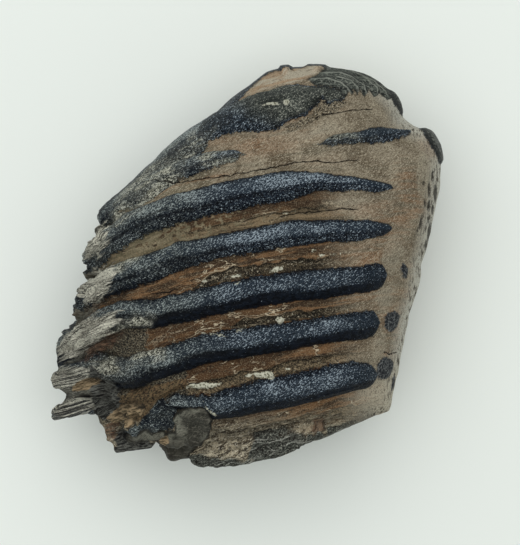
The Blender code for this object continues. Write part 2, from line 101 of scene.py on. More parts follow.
# %% Plate stations
PLATES = [
    [(-80, 5, 3), (-57, 19.5, 3.5), (-49, 27, 5), (-36, 36.5, 6), (-30, 40.5, 5.5),
     (-22, 46, 5), (-14.5, 50.2, 4.6), (-9, 53, 4.6), (-4.5, 54.6, 5), (3.5, 56, 5.5),
     (9, 57.5, 6), (15, 60, 5), (21, 61.5, 3.5), (27, 63, 2), (32, 63, 0),
     (38, 62, -4), (90, 56, -40)],
    [(-80, 5, 3), (-57, 15.5, 3), (-51, 20.5, 3.4), (-43, 26, 3.8), (-35.5, 30.3, 3.8),
     (-27, 34.2, 3.3), (-20.5, 36, 3.3), (-11.5, 38.4, 3), (-4, 39.8, 1.8), (0, 40.3, 0),
     (3, 40.8, -1.5),
     (22, 43.3, -1.5), (27, 44.2, 0), (31, 45, 1.8), (36, 46, 1.9), (41, 46.7, 1.9),
     (46, 47.7, 2.8), (50, 48.2, 3.1), (54.5, 48.5, 2.2), (59, 49, 1.2), (62, 49.5, 0),
     (66, 50, -4), (90, 50, -28)],
    [(-80, -10, 3), (-60, 2.5, 3.5), (-51, 9, 4.5), (-43, 14, 4.8), (-35, 17.5, 4.8),
     (-24, 21, 5), (-9, 24.5, 5.5), (10.5, 28, 5.5), (20, 29.5, 4.5), (27, 30.5, 3.5),
     (38, 29.5, 2.7), (49, 28.5, 2), (55.5, 28.8, 0), (60, 29, -4), (90, 29, -34)],
    [(-80, -23, 3), (-63, -12.5, 3), (-58.5, -8.5, 4), (-50.5, -5.5, 5.3), (-35, -1, 5.4),
     (-24, 3.5, 5.3), (-16.5, 5, 4.5), (-7.5, 7, 4), (10.5, 10.5, 4.6), (20, 11.5, 4.7),
     (30.5, 12, 4.1), (36, 12, 4.1), (43, 12.6, 3.7), (47.5, 13, 3.1), (50.5, 13.2, 2.3),
     (52.4, 13.4, 1.2), (53.2, 13.5, 0), (57, 13.5, -4), (90, 13.5, -37)],
    [(-80, -38, 5), (-70, -32, 5), (-62, -26.5, 5), (-54, -21.8, 5.5), (-46, -18.5, 5.5),
     (-35, -18, 5.5), (-24, -16, 5.5), (-6, -11.8, 5.5), (5, -9.5, 5.5), (16, -8.4, 5.6),
     (30.5, -7, 5.4), (38, -6.2, 5.2), (45.5, -5, 4.9), (48.5, -4.6, 4.7), (49.8, -4.4, 4.1),
     (50.6, -4.3, 3), (51.3, -4.1, 0), (55, -4, -4), (90, -4, -39)],
    [(-80, -45, 4), (-57, -39, 4.5), (-48, -41, 6), (-42.5, -40.3, 6.2), (-35, -37.3, 6),
     (-24, -34, 5.5), (-17, -31.5, 5.6), (-6, -29.5, 5.5), (5, -28, 5.4), (16, -26.5, 5.2),
     (20, -25.5, 4.8), (30.5, -24, 5), (38, -23, 5.1), (44, -22.1, 5.2), (46.4, -21.8, 4.6),
     (47.6, -21.6, 3.6), (48.6, -21.4, 0), (52, -21.4, -4), (90, -21.4, -42)],
    [(-80, -62, 4), (-62, -57, 2.5), (-52, -54, 0), (-40, -52, -1.5), (-31, -50.5, 0),
     (-24, -51, 2), (-16.5, -51, 3.4), (-11.5, -52.5, 5.3), (-6, -51.2, 5.8), (5, -49, 6.2),
     (16, -47, 6.5), (27, -44.5, 6.3), (34.5, -43, 6.2), (40, -41.8, 5.8), (44, -41.2, 5.2),
     (46, -41, 4.2), (47.1, -40.9, 2.8), (47.7, -40.9, 0), (51, -40.9, -4), (90, -40.9, -43)],
    [(-80, -80, 3), (-45, -78, 3), (-17.5, -75, 4), (-2, -71.5, 4), (12.5, -68, 4),
     (24, -64, 3), (30, -61.5, 0), (34, -60, -4), (90, -56, -60)],
]
ROUGH_FROM = [-90, -90, -90, -17, -4, -28, -90, -90]
RUST_FROM = [30.0, 30.0, -20.0, -62.0, -36.8, -22.0, -23.0, -23.0]
RUST_FADE = [1.0, 1.0, 50.0, 3.0, 1.6, 1.5, 1.0, 1.0]
print("plates", len(PLATES))

# %% [markdown]
# ## Splinters
#
# On the left the plates broke off in long splinters. Each one is a wedge with a root inside
# the tooth and a free tip. Modelling them as separate wedges first, and melting them into the
# body afterwards, keeps their edges sharp without any hand-made joins.

# %% Splinter list
SHARDS = [
    (-56, -35.0, -71.6, -33.9, 7.6, 5.4, 18, 69, 55),
    (-55, -43.4, -66.5, -45.6, 8.8, 6.0, 22, 62, 54),
    (-65, -44.8, -74.6, -44.4, 7.2, 0.8, 26, 57, 49),
    (-53, -49.2, -66.5, -52.4, 5.0, 4.4, 18, 58, 50),
    (-62, -50.2, -74.6, -58.2, 6.0, 0.9, 22, 54, 46),
    (-52, -58.4, -57.4, -59.2, 3.6, 2.2, 12, 54, 48),
    (-44, -62.6, -54.6, -65.0, 4.6, 3.0, 10, 58, 50),
    (-36, -66.6, -51.6, -70.2, 3.2, 3.1, 14, 56, 48),
    (-28, -63, -46, -64.5, 4.5, 3.0, 24, 64, 57),
    (-13, -58, -29, -61.5, 8.0, 6.5, 30, 73, 64),
    (-18, -65.6, -30.9, -69.8, 6.4, 4.2, 14, 63, 56),
    (-10, -71.4, -20.0, -73.8, 4.2, 2.2, 22, 58, 53),
    (-48, 15, -55.0, 19.6, 4.0, 2.0, 20, 61, 54),
    (-50, 2, -61.8, 3.4, 4.8, 2.6, 16, 63, 53),
    (-52, -5, -62.8, -4.8, 3.4, 2.4, 16, 60, 52),
    (-52, -15.5, -66.4, -20.6, 4.4, 2.0, 18, 65, 54),
]
print("splinters", len(SHARDS))

# %% [markdown]
# ## Patches, spots and cracks
#
# Some marks aren't part of a ridge: the raised lip of the front plate, the worn swirl beside
# it, a smooth broken chip at the lower left, the dark tips of buried plates on the right, pale
# mineral grains in the grooves, and fine cracks. A patch is a closed outline, a spot or grain
# is an ellipse (x, y, half length, half width, turn in degrees), and a crack is a line.

# %% Front plate and the worn swirl
LIP = [
    (-17, 50), (-13, 56), (-6, 60), (1.5, 63.4), (7.5, 64.6), (12.8, 67), (18.8, 67.6),
    (25, 66.8), (29.5, 67), (35, 65.4), (37, 63), (36.6, 61), (32.5, 61.2), (31, 59.6),
    (28, 61), (25, 58.4), (22, 55.8), (18.2, 54.2), (13.2, 52.2), (11.4, 49.6), (4.6, 49),
    (-3.8, 49.6), (-10.5, 49.8), (-17, 47),
]
CRUST = [
    (13.6, 51.6), (19, 53.6), (22.7, 55.1), (25.7, 58.1), (28.7, 60.8), (37.4, 60.8),
    (35.5, 58.5), (30.2, 55.5), (24.9, 53.2), (20.4, 50.6), (15.1, 48.7),
]
SWIRL = [
    (22.2, 69.9), (26.9, 72.2), (29.7, 74.2), (31, 80), (41, 80), (54, 74), (58, 68), (55, 63),
    (53, 62), (50.4, 64.7), (48, 62.8), (45.9, 65.8), (44.2, 62.2), (42.5, 65.8), (41.2, 63),
    (40.2, 66.2), (39.3, 62.8), (37.9, 64.7), (36.7, 61.7), (34.6, 65), (31.6, 66.4),
    (25.6, 66.9),
]
LENS = [
    (-1, 64), (0.4, 66.8), (6, 71.3), (12.8, 74.3), (20, 76), (27.2, 78), (30, 75), (26.8, 72.4),
    (22.3, 70.2), (18.9, 68.3), (12.8, 67.6), (8.3, 66.2), (3.8, 64.1),
]
print("outlines of the front plate", 4)

# %% Broken pieces
CHIP = [
    (-26.2, -55), (-21, -52), (-15.3, -51.6), (-13.1, -55), (-12.7, -59.8), (-14.2, -64),
    (-17.2, -67.3), (-21, -71), (-24, -76), (-30, -75), (-33.5, -69), (-33.3, -65.8), (-31, -64),
    (-26.6, -61.7), (-27.7, -58),
]
BLOCK = [
    (-45.8, -59.7), (-32.3, -59.7), (-30.4, -65.7), (-36, -66.8), (-45, -68), (-46.5, -64.2),
]
FLAKES = [
    [(52.6, 69.5), (54.4, 64.4), (56.2, 60.2), (58.6, 57.2), (63, 57), (62, 70)],
    [(65.4, 53.4), (66.8, 50.2), (68, 47.2), (69.8, 44), (71.6, 41.8), (73, 38.5),
     (78, 38.5), (77, 46), (73, 52), (68, 57)],
]
DARK_BREAK = [
    [(1.5, -67.0), (4, -64.5), (8, -63.2), (15, -62.6), (20.8, -62.3), (25.5, -63.2),
     (28, -64.6), (30, -67), (34, -72), (11.2, -72.4), (3.5, -73.2), (0, -71.2)],
    [(-21.6, -72), (-11.9, -70.6), (-0.4, -71.2), (8, -73), (14, -84), (-30, -84)],
    [(31, -63.5), (38, -60.8), (43, -56.2), (47.5, -54.2), (51, -60), (44, -66), (32, -72)],
]
print("flakes", len(FLAKES), "dark breaks", len(DARK_BREAK))

# %% Hollows, knobs and worn ends
HOLLOWS = [(-46.6, -63.4, 2.8, 2.0, -40), (-60.5, -49.8, 4.5, 0.9, 5)]
WALL = [
    (-57, -37), (-53, -39), (-49.5, -44), (-48, -50), (-50, -57), (-55, -60), (-58, -55),
    (-58.5, -50), (-60.5, -47),
]
KNOBS = [(14.6, 75, 2.6, 3.4, 0), (26.5, 76, 5.0, 3.6, 5)]
WORN = [
    (-59.6, -26.2, 14.5, 4.6, 31), (-56.0, -6.5, 9.0, 5.0, 35), (-56.5, 8.5, 7.0, 4.6, 50),
    (-67.0, -43.0, 9.0, 5.0, 5), (-66.0, -54.0, 12.0, 3.6, 12),
]
SLATE = [(-44.0, -70.6, 10.0, 2.8, 8), (-48.0, -66.0, 3.0, 4.0, 0)]
print("hollows", len(HOLLOWS), "knobs", len(KNOBS), "worn ends", len(WORN))

# %% Patches of other colours
GLOW = [(6, 43.5, 14, 4, 5), (46, 20.5, 8, 2.5, 10), (-10, 46, 8, 2.5, 5), (70, 44, 5, 3, -40)]
PALE = [
    (37, 21.5, 11, 3.6, 0), (54, 4, 4, 8, -10), (51, -12, 3.5, 6, 0), (50, -30, 3, 6, 0),
    (66, 32, 3, 9, 0), (24, 49, 8, 2, 10),
]
REDDISH = [
    (27.9, -61.6, 3.2, 2.3, 10), (-54.3, -30.4, 8.5, 2.8, 32), (-52.7, -63.5, 1.8, 3.6, 0),
    (-30.4, -65.5, 2.4, 1.5, 20),
]
FACETS = [(-61.7, -45.4, 5.0, 2.0, 20), (-30.6, -66.0, 2.2, 1.3, 20), (-46.2, -57.0, 8.0, 3.6, 20)]
FRETTED = [
    (-29.8, 33.6, 20.0, 4.4, 40), (-46.8, 16.0, 6.5, 3.0, 28), (-52.4, -38.4, 8.0, 4.2, 15),
    (-37.0, -33.7, 4.5, 1.8, 15), (-7.7, 38.2, 13.0, 3.0, 8), (-42.0, -21.6, 6.0, 2.4, 20),
    (-45.0, 0.5, 6.0, 3.0, 30), (32.0, 44.8, 9.0, 2.8, 8),
]
OLIVE = [
    (-50, -53.3), (-47, -48.9), (-39.5, -45.9), (-30.2, -43.6), (-22.4, -42.1), (-20.9, -45.1),
    (-26.1, -48.1), (-32.1, -51.1), (-35.8, -55.6), (-39.5, -59.3), (-47.8, -60.8), (-51, -58),
]
BACK = [
    (-34.9, 38.1), (-26.2, 46.1), (-17.1, 53.2), (-11.8, 57.5), (-7.5, 59.2), (-4.5, 60.4),
    (-1.5, 64.3), (3.4, 69.2), (7.8, 72.9), (11.4, 74.0), (12.3, 73.2), (17.0, 73.3), (17.6, 74.8),
    (22.5, 75.0), (24, 74.2), (32, 73.6), (33, 90), (-40, 90),
]
BAND = [
    (-20, -50), (-26, -48.6), (-32, -51.6), (-36, -56), (-39.5, -59.6), (-46, -61.5),
    (-46.5, -65), (-38, -66), (-31, -63.5), (-27, -61), (-27.7, -58), (-26.2, -55), (-21, -52),
]
print("pale patches", len(PALE), "fretted patches", len(FRETTED))

# %% Spots, pits and mineral grains
SPOTS = [
    (59.0, -2.6, 2.7, 1.5, 95), (54.2, -21.3, 3.9, 3.1, 70), (51.7, -39.0, 4.4, 3.5, 75),
    (55.6, -45.0, 3.0, 0.9, 80),
]
PITS = [
    (71.8, 27.1, 3.8, 0.8, 88), (69.1, 27.9, 3.0, 0.7, 92), (66.1, 16.0, 2.8, 0.8, 84),
    (69.5, 12.2, 4.2, 0.8, 82), (70.7, 21.0, 2.0, 0.6, 90), (68.0, 7.6, 2.0, 0.6, 85),
    (67.2, 22.9, 1.5, 0.6, 95), (-39.6, -54.0, 1.6, 1.4, 0), (-47.5, -57.8, 1.3, 1.1, 0),
    (70.6, 33.5, 2.6, 0.6, 92), (68.9, 22.0, 2.4, 0.6, 85), (64.7, 13.0, 1.6, 0.5, 80),
    (66.6, 30.5, 1.2, 0.6, 75), (68.9, 17.0, 1.6, 0.5, 88),
]
GRAINS = [
    (10.9, -1.8, 2.3, 1.0, 8), (-4.4, -4.4, 2.6, 0.6, 12), (-14.9, -6.2, 1.7, 0.5, 15),
    (12.0, -20.4, 1.6, 1.1, 20), (-10.5, -25.4, 4.8, 0.4, -4), (-1.8, -23.6, 2.2, 0.4, 6),
    (6.6, -40.7, 3.9, 1.3, -6), (1.0, -41.0, 1.6, 0.6, 20), (-16.5, -45.0, 6.0, 1.2, 4),
    (9.2, 57.4, 2.6, 0.8, 10), (14.6, 58.4, 1.4, 0.9, 20), (-13.2, -52.6, 3.2, 0.6, -50),
    (24.7, 4.8, 0.9, 0.35, 10), (16.0, 19.2, 2.6, 0.3, 14), (33.0, 3.9, 4.0, 0.3, 6),
    (-2.5, -6.6, 1.4, 0.3, 30), (27.0, 2.9, 1.6, 0.3, 20), (15.8, -39.0, 1.8, 0.5, -5),
]
print("spots", len(SPOTS), "pits", len(PITS), "grains", len(GRAINS))

# %% Cracks and arcs
CRACKS = [
    [(-35.8, 29.8), (-10.2, 32.2), (4, 34.6), (17.1, 37.2), (27, 38), (31.8, 37.3), (42, 39)],
    [(11.1, 17.4), (17.9, 18.7), (26.4, 19.7), (33.2, 20), (35.6, 20.6), (41.2, 19.8)],
    [(24.5, 54.4), (29.5, 55.8), (34.7, 56.7), (41.2, 58), (48.2, 58.6)],
    [(51.2, -32.6), (54.3, -33.8), (57.3, -33.1)],
    [(-36.2, -10.8), (-28.5, -10.2), (-24, -8.6)],
]
ARCS = [
    [(22.2, 69.1), (30.4, 69.5), (35, 67.8), (37.9, 65.3), (39, 63.6)],
    [(27, 72.3), (35, 72.4), (39.5, 70.6), (43.7, 67), (44.9, 63.6)],
    [(40.8, 73.2), (47.7, 69.6), (52.4, 65.3), (53.4, 62.8)],
    [(33, 70.6), (38.5, 69.2), (41.5, 66), (42, 64)],
    [(39, 74), (45, 70.5), (48.6, 66.5), (49.2, 64)],
]
print("cracks", len(CRACKS), "arcs", len(ARCS))

# %% [markdown]
# ## Small helpers
#
# The relief is worked out for all points of the skin at once with numpy, which is much faster
# than one point at a time. These helpers read a table round the turn, make smooth noise, ease
# a value from 0 to 1, and measure how far each point is from an outline, an ellipse or a line.

# %% Tables, noise and soft steps
def periodic(angle, table):
    """Reads a table of (degrees, value) at angles in radians, round the full turn."""
    degrees = np.degrees(angle) % 360.0
    return np.interp(degrees, [row[0] for row in table], [row[1] for row in table], period=360)


def noise_field(points, size, octaves=3, offset=0.0):
    """Smooth noise between about -1 and 1 with features of the given size."""
    shift = Vector((offset, offset * 0.7, offset * 0.3))
    values = [noise.fractal(Vector(p) / size + shift, 0.6, 2.0, octaves) for p in points]
    return np.array(values)


def smoothstep(low, high, value):
    """Goes from 0 at low to 1 at high with soft ends."""
    t = np.clip((value - low) / (high - low), 0.0, 1.0)
    return t * t * (3.0 - 2.0 * t)


def bell(value, width):
    """1 where the value is zero, falling away smoothly over about the width."""
    return np.exp(-((value / width) ** 2))


def print_range(what, values):
    """Prints the lowest and the highest of some heights in millimetres."""
    print(what, "from", round(float(values.min()), 2), "to", round(float(values.max()), 2), "mm")


print("a soft step halfway", float(smoothstep(0.0, 1.0, np.array(0.5))))

# %% Distance to outlines and ellipses
def inside_distance(x, y, corners):
    """Distance to a closed outline: above zero inside it, below zero outside."""
    best = np.full(x.shape, 1e9)
    inside = np.zeros(x.shape, dtype=bool)
    for (ax, ay), (bx, by) in zip(corners, corners[1:] + corners[:1]):
        ex, ey = bx - ax, by - ay
        t = np.clip(((x - ax) * ex + (y - ay) * ey) / (ex * ex + ey * ey), 0.0, 1.0)
        best = np.minimum(best, np.hypot(x - ax - t * ex, y - ay - t * ey))
        if ey != 0.0:
            inside ^= ((ay > y) != (by > y)) & (x < ex * (y - ay) / ey + ax)
    return np.where(inside, best, -best)


def ellipse_distance(x, y, ellipses):
    """Rough distance inside the nearest ellipse of a list, below zero outside them all."""
    best = np.full(x.shape, -1e3)
    for cx, cy, long_half, short_half, degrees in ellipses:
        c, s = math.cos(math.radians(degrees)), math.sin(math.radians(degrees))
        u = ((x - cx) * c + (y - cy) * s) / long_half
        v = (-(x - cx) * s + (y - cy) * c) / short_half
        best = np.maximum(best, (1.0 - np.hypot(u, v)) * short_half)
    return best


print("inside the outline at the middle", inside_distance(np.zeros(1), np.zeros(1), OUTLINE)[0])

# %% Distance to lines
def line_distance(x, y, lines):
    """Signed distance to the nearest line of a list, and 1 close to a line but not past its ends."""
    best = np.full(x.shape, 1e3)
    near = np.zeros(x.shape)
    for line in lines:
        count = len(line) - 1
        for index in range(count):
            (ax, ay), (bx, by) = line[index], line[index + 1]
            ex, ey = bx - ax, by - ay
            length = math.hypot(ex, ey)
            t = ((x - ax) * ex + (y - ay) * ey) / (length * length)
            off = ((x - ax) * -ey + (y - ay) * ex) / length
            ok = (t >= (-0.15 if index else 0.0)) & (t <= (1.15 if index < count - 1 else 1.0))
            closer = ok & (np.abs(off) < np.abs(best))
            best = np.where(closer, off, best)
            fade = np.minimum(
                smoothstep(0.0, 0.25, t) if index == 0 else 1.0,
                smoothstep(1.0, 0.75, t) if index == count - 1 else 1.0,
            )
            near = np.where(closer, fade * smoothstep(1.7, 1.1, np.abs(off)), near)
    return np.clip(best, -3.0, 3.0), near


print("lines to measure", len(CRACKS) + len(ARCS))

# %% [markdown]
# ## The body
#
# The cement body is a ball pushed out to the outline. Raising the distance from the middle to
# a power below one fills the sides out, so the broken left and lower sides stand up steeply
# while the top right rolls over gently. A lathe or a box would need many more fixes.

# %% Body and splinters
def add_core(bm):
    """The cement body: a ball pushed out to the outline, with fuller or rounder sides."""
    made = bmesh.ops.create_uvsphere(bm, u_segments=180, v_segments=90, radius=1.0)
    for vert in made["verts"]:
        turn = math.atan2(vert.co.y, vert.co.x)
        flat = min(1.0, math.hypot(vert.co.x, vert.co.y))
        power = float(periodic(turn, SQUARENESS))
        inset = float(periodic(turn, EDGE_INSET))
        reach = (float(periodic(turn, OUTLINE_POLAR)) - inset) * flat ** (2.0 / power)
        rise = TOP_RISE if vert.co.z > 0 else UNDER_DROP
        vert.co = (reach * math.cos(turn), reach * math.sin(turn), WIDEST_Z + rise * vert.co.z)


def add_shard(bm, row):
    """A wedge of broken plate that runs from its root inside the body out to its tip."""
    x0, y0, x1, y1, half0, half1, bottom, top0, top1 = row
    along = Vector((x1 - x0, y1 - y0, 0))
    side = Vector((-along.y, along.x, 0)).normalized()
    made = bmesh.ops.create_cube(bm, size=1.0)
    for vert in made["verts"]:
        t = vert.co.x + 0.5
        half = half0 + (half1 - half0) * t
        top = top0 + (top1 - top0) * t
        low = bottom + 8.0 * t
        level = low if vert.co.z < 0 else top
        spot = Vector((x0, y0, 0)) + along * t + side * (2.0 * vert.co.y * half)
        vert.co = (spot.x, spot.y, level)


base = bmesh.new()
add_core(base)
for shard in SHARDS:
    add_shard(base, shard)
print("faces before the skin", len(base.faces))

# %% [markdown]
# ## One skin
#
# The body and its splinters overlap, and a real tooth is one piece. A voxel remesh wraps them
# in one closed skin of small even faces, which is also the right kind of mesh to press fine
# relief into. A boolean union would leave long thin faces that can't take relief.

# %% Wrap the skin
def remeshed(bm, voxel):
    """One closed skin round everything in the mesh, built from small even faces."""
    mesh = bpy.data.meshes.new("skin_base")
    bm.to_mesh(mesh)
    bm.free()
    holder = bpy.data.objects.new("skin_base", mesh)
    bpy.context.scene.collection.objects.link(holder)
    remesh = holder.modifiers.new("skin", "REMESH")
    remesh.mode = "VOXEL"
    remesh.voxel_size = voxel
    graph = bpy.context.evaluated_depsgraph_get()
    result = bpy.data.meshes.new_from_object(holder.evaluated_get(graph))
    bpy.data.objects.remove(holder, do_unlink=True)
    out = bmesh.new()
    out.from_mesh(result)
    bpy.data.meshes.remove(result)
    return out


skin = remeshed(base, SKIN_STEP)
bmesh.ops.smooth_vert(skin, verts=skin.verts, factor=0.5, use_axis_x=True, use_axis_y=True,
                      use_axis_z=True)
skin.normal_update()
points = np.array([v.co[:] for v in skin.verts])
normals = np.array([v.normal[:] for v in skin.verts])
print("skin points", len(points), "faces", len(skin.faces))

# %% [markdown]
# ## Distance to the plates
#
# For every point the script asks how far it is from the nearest plate's edge, how far down the
# strip of cement between two plates it lies, and which row it is in, counted from the front
# plate. These numbers drive the relief now and the colours later, so the dark enamel always
# sits exactly on its ridge.

# %% Plate distances
ROW_PITCH = 18.0


def plate_fields(x, y):
    """Signed distance to the nearest plate edge, and the place across plate, strip and rows."""
    nearest = np.full(x.shape, 1e3)
    across = np.zeros(x.shape)
    half_here = np.ones(x.shape)
    middles = []
    upper = []
    lower = []
    for stations in PLATES:
        xs = [s[0] for s in stations]
        middle = np.interp(x, xs, [s[1] for s in stations])
        ahead = np.interp(x + 1.0, xs, [s[1] for s in stations])
        half = np.interp(x, xs, [s[2] for s in stations])
        lean = 1.0 / np.sqrt(1.0 + (ahead - middle) ** 2)
        offset = (y - middle) * lean
        signed = np.abs(offset) - half
        closer = signed < nearest
        nearest = np.where(closer, signed, nearest)
        across = np.where(closer, offset, across)
        half_here = np.where(closer, np.maximum(half, 0.5), half_here)
        middles.append(middle)
        upper.append(middle + np.maximum(half, 1.5) / lean)
        lower.append(middle - np.maximum(half, 1.5) / lean)
    strip = np.zeros(x.shape)
    for above, below in zip(lower[:-1], upper[1:]):
        between = (y < above) & (y > below)
        part = (above - y) / np.maximum(above - below, 0.5)
        strip = np.where(between, part, strip)
    row = (middles[0] - y) / ROW_PITCH
    for index, (above, below) in enumerate(zip(middles[:-1], middles[1:])):
        part = (above - y) / np.maximum(above - below, 0.5)
        row = np.where(y <= above, index + np.minimum(part, 1.0), row)
    row = np.where(y < middles[-1], len(PLATES) - 1 + (middles[-1] - y) / ROW_PITCH, row)
    return nearest, across, half_here, strip, row


print("rows of plates", len(PLATES))

# %% Plates on the skin
PLATE_BOW = 2.5
x, y, z = points[:, 0], points[:, 1], points[:, 2]
rough = noise_field(points, 9.0)
waver = noise_field(points, 14.0, 2, 40.0)
fine = noise_field(points, 2.4, 2, 12.0)
depth = smoothstep(62.0, 22.0, z)
bow = PLATE_BOW * np.sin(z / 17.0 + 0.04 * x) * depth
signed, across, half, strip, row = plate_fields(x, y + 0.5 * waver + bow)
signed = signed + 0.3 * rough + 0.25 * fine
top = smoothstep(34.0, 42.0, z + 5.0 * rough)
print("points on enamel", int((signed < 0).sum()))

# %% [markdown]
# ## Distance to the marks
#
# Each mark is measured like the plates, as a distance that is above zero inside it. The marks
# are seen from above, so each one is kept to the upper part of the tooth, where it belongs. A
# little noise on the place first keeps their edges from looking drawn.

# %% Marks on the skin
OUTSIDE = -50.0
jitter_x = x + 0.5 * fine
jitter_y = y + 0.5 * noise_field(points, 2.4, 2, 60.0)
upper = top > 0.5
seen = z > 20
high = z > 40


def mark_distance(shapes, where):
    """Distance inside an outline or a list of ellipses, and far outside where it can't be."""
    measure = inside_distance if len(shapes[0]) == 2 else ellipse_distance
    return np.where(where, measure(jitter_x, jitter_y, shapes), OUTSIDE)


marks = {
    "lip": mark_distance(LIP, upper),
    "swirl": mark_distance(SWIRL, upper),
    "lens": mark_distance(LENS, top > 0.3),
    "crust": mark_distance(CRUST, upper),
    "spot": mark_distance(SPOTS, upper),
    "grain": mark_distance(GRAINS, upper),
    "pale": mark_distance(PALE, upper),
    "glow": mark_distance(GLOW, upper),
    "worn": mark_distance(WORN, seen),
    "wall": np.maximum(mark_distance(WALL, seen), mark_distance(SLATE, seen)),
    "reddish": mark_distance(REDDISH, seen),
    "facet": mark_distance(FACETS, seen),
    "fretted": mark_distance(FRETTED, high),
    "olive": mark_distance(OLIVE, high),
    "pit": np.where(top > 0.3, ellipse_distance(x + 0.3 * fine, y, PITS), OUTSIDE),
    "hollow": np.where(z > 48, ellipse_distance(x, y, HOLLOWS), OUTSIDE),
}
lip, swirl, crust = marks["lip"], marks["swirl"], marks["crust"]
print("marks", len(marks), "points on the lip", int((lip > 0).sum()))

# %% Broken pieces and lines
chip = np.maximum(inside_distance(x, y, CHIP), inside_distance(x, y, BLOCK))
chip = np.where(high, chip + 0.4 * fine, OUTSIDE)
flake = np.maximum(inside_distance(x, y, FLAKES[0]), inside_distance(x, y, FLAKES[1]))
flake = np.minimum(flake, z - 27.0 + 3.0 * rough)
back = inside_distance(jitter_x, jitter_y, BACK) + 0.5 * fine
strip_index = np.clip(np.floor(row), 0, 7).astype(int)
rust_from = np.array(RUST_FROM)[strip_index]
rusty = np.clip((x - rust_from + 0.8 * fine) / np.array(RUST_FADE)[strip_index], -5.0, 5.0)
crack, crack_on = line_distance(jitter_x, jitter_y, CRACKS)
crack_on = crack_on * top
arc, arc_on = line_distance(x + 0.3 * fine, y, ARCS)
arc_on = arc_on * top
print("points on the chip", int((chip > 0).sum()), "on flakes", int((flake > 0).sum()))

# %% [markdown]
# ## Relief
#
# The skin now moves in or out along its own direction: ridges up, a smooth band of cement just
# under each ridge, a rough groove above the next one, gaps between the broken plate bases and
# ledges on the broken faces. Layers in the cement follow the rows, so the noise for them is
# read in row numbers instead of millimetres.

# %% Relief amounts
RIDGE_RISE = 2.3
UNDER_LEVEL = -2.5
BAND_LEVEL = -1.1
GROOVE_LEVEL = -2.2
LIP_RISE = 2.6
ROOT_GAP_DEPTH = 4.5
BREAK_ROUGHNESS = 1.2
CREST_AT = 0.3
print("ridges stand", RIDGE_RISE - GROOVE_LEVEL, "mm above the grooves")

# %% Zones of the tooth
crown = smoothstep(24.0, 46.0, x + 0.12 * y)
root = smoothstep(-38.0, -60.0, x + 0.25 * y)
side_root = root * smoothstep(68.0, 50.0, z)
lower_break = smoothstep(-52.0, -66.0, y)
broken = smoothstep(68.0, 50.0, z) * np.maximum(root, lower_break)
reach = periodic(np.arctan2(y, x), OUTLINE_POLAR)
thin = smoothstep(0.93, 1.0, np.hypot(x, y) / reach)
layers = noise_field(np.stack([x / 13.0, row * 5.0, z / 13.0], 1), 1.0, 3, 21.0)
streaks = noise_field(np.stack([x / 26.0, row * 11.0, z / 26.0], 1), 1.0, 2, 55.0)
print("points on the broken faces", int((broken > 0.5).sum()))

# %% Cement between the plates
strips = smoothstep(1.5, 2.1, row) * (1.0 - crown)
strip_depth = 0.12 + 0.88 * strips
late = np.array(ROUGH_FROM)[strip_index]
ragged = strip + 0.14 * rough + 0.04 * fine - 0.7 * smoothstep(late + 4.0, late - 8.0, x)
step = smoothstep(0.50, 0.58, ragged)
band = UNDER_LEVEL + (BAND_LEVEL - UNDER_LEVEL) * smoothstep(0.0, 0.45, strip)
cement = band + (GROOVE_LEVEL - BAND_LEVEL) * step
crust_line = bell(ragged - 0.5, 0.05) * (strip > 0)
cement = cement + 0.4 * crust_line + 0.5 * layers * step
cement = cement * strip_depth
cement = cement - ROOT_GAP_DEPTH * side_root * smoothstep(0.0, 0.5, strip)
print_range("cement", cement)

# %% Ridges
edge = np.where(across > 0, GROOVE_LEVEL * 0.8, UNDER_LEVEL) * strip_depth
lean_in = np.clip(across / half, -1.0, 1.0)
span = np.where(lean_in > CREST_AT, 1.0 - CREST_AT, 1.0 + CREST_AT)
arch = np.sqrt(np.clip(1.0 - ((lean_in - CREST_AT) / span) ** 2, 0.0, 1.0))
crest = RIDGE_RISE * (1.0 - 0.25 * crown)
shelf = smoothstep(-0.2, -0.45, lean_in + 0.5 * streaks) * strips
ridge = edge + (crest - edge) * arch ** 0.8 - 0.5 * shelf * arch
crease = bell(lean_in + 0.3 + 0.4 * streaks, 0.1) * (signed < -0.5)
crease = crease * smoothstep(1.6, 2.0, row) * smoothstep(16.0, -8.0, x + 12.0 * layers)
ridge = ridge - 0.8 * crease
out = np.where(signed < 0, np.maximum(ridge, cement), cement)
print_range("relief", out)

# %% Relief of the marks
SWIRL_RISE = 0.5
ARC_RISE = 0.55
HOLLOW_DEPTH = 3.2
FLAKE_RISE = 1.1
KNOB_RISE = 2.6
SPOT_RISE = 0.45
PIT_DEPTH = 0.9
GRAIN_RISE = 1.3
CRACK_DEPTH = 0.7

lip_height = LIP_RISE * bell(x - 4, 17) + 1.0 + 0.5 * streaks
lip_step = smoothstep(0.0, 1.5, lip) * (0.7 + 0.3 * smoothstep(2.0, 5.0, lip))
out = np.where(lip > 0, np.maximum(out, -0.6 + lip_height * lip_step), out)
out = out - 0.9 * smoothstep(-2.5, 0.0, lip) * (lip < 0) * (y < 60) * (x > -8)
out = out + np.where(crust > 0, 0.9 * layers - 0.4, 0.0)
swirl_level = -0.4 + SWIRL_RISE * smoothstep(0.0, 1.0, swirl) + 0.45 * streaks
out = np.where(swirl > 0, swirl_level, out)
out = out + ARC_RISE * arc_on * bell(arc, 0.9) * (swirl > -1)
out = out - HOLLOW_DEPTH * smoothstep(-0.3, 1.6, marks["hollow"])
facets = np.abs(noise_field(points * np.array([1.3, 0.7, 1.0]), 9.0, 1, 33.0))
out = np.where(chip > 0, 1.2 - 5.0 * facets + 0.4 * smoothstep(0.0, 1.0, chip), out)
out = np.where(flake > 0, FLAKE_RISE * smoothstep(0.0, 1.6, flake) + 0.3 * rough, out)
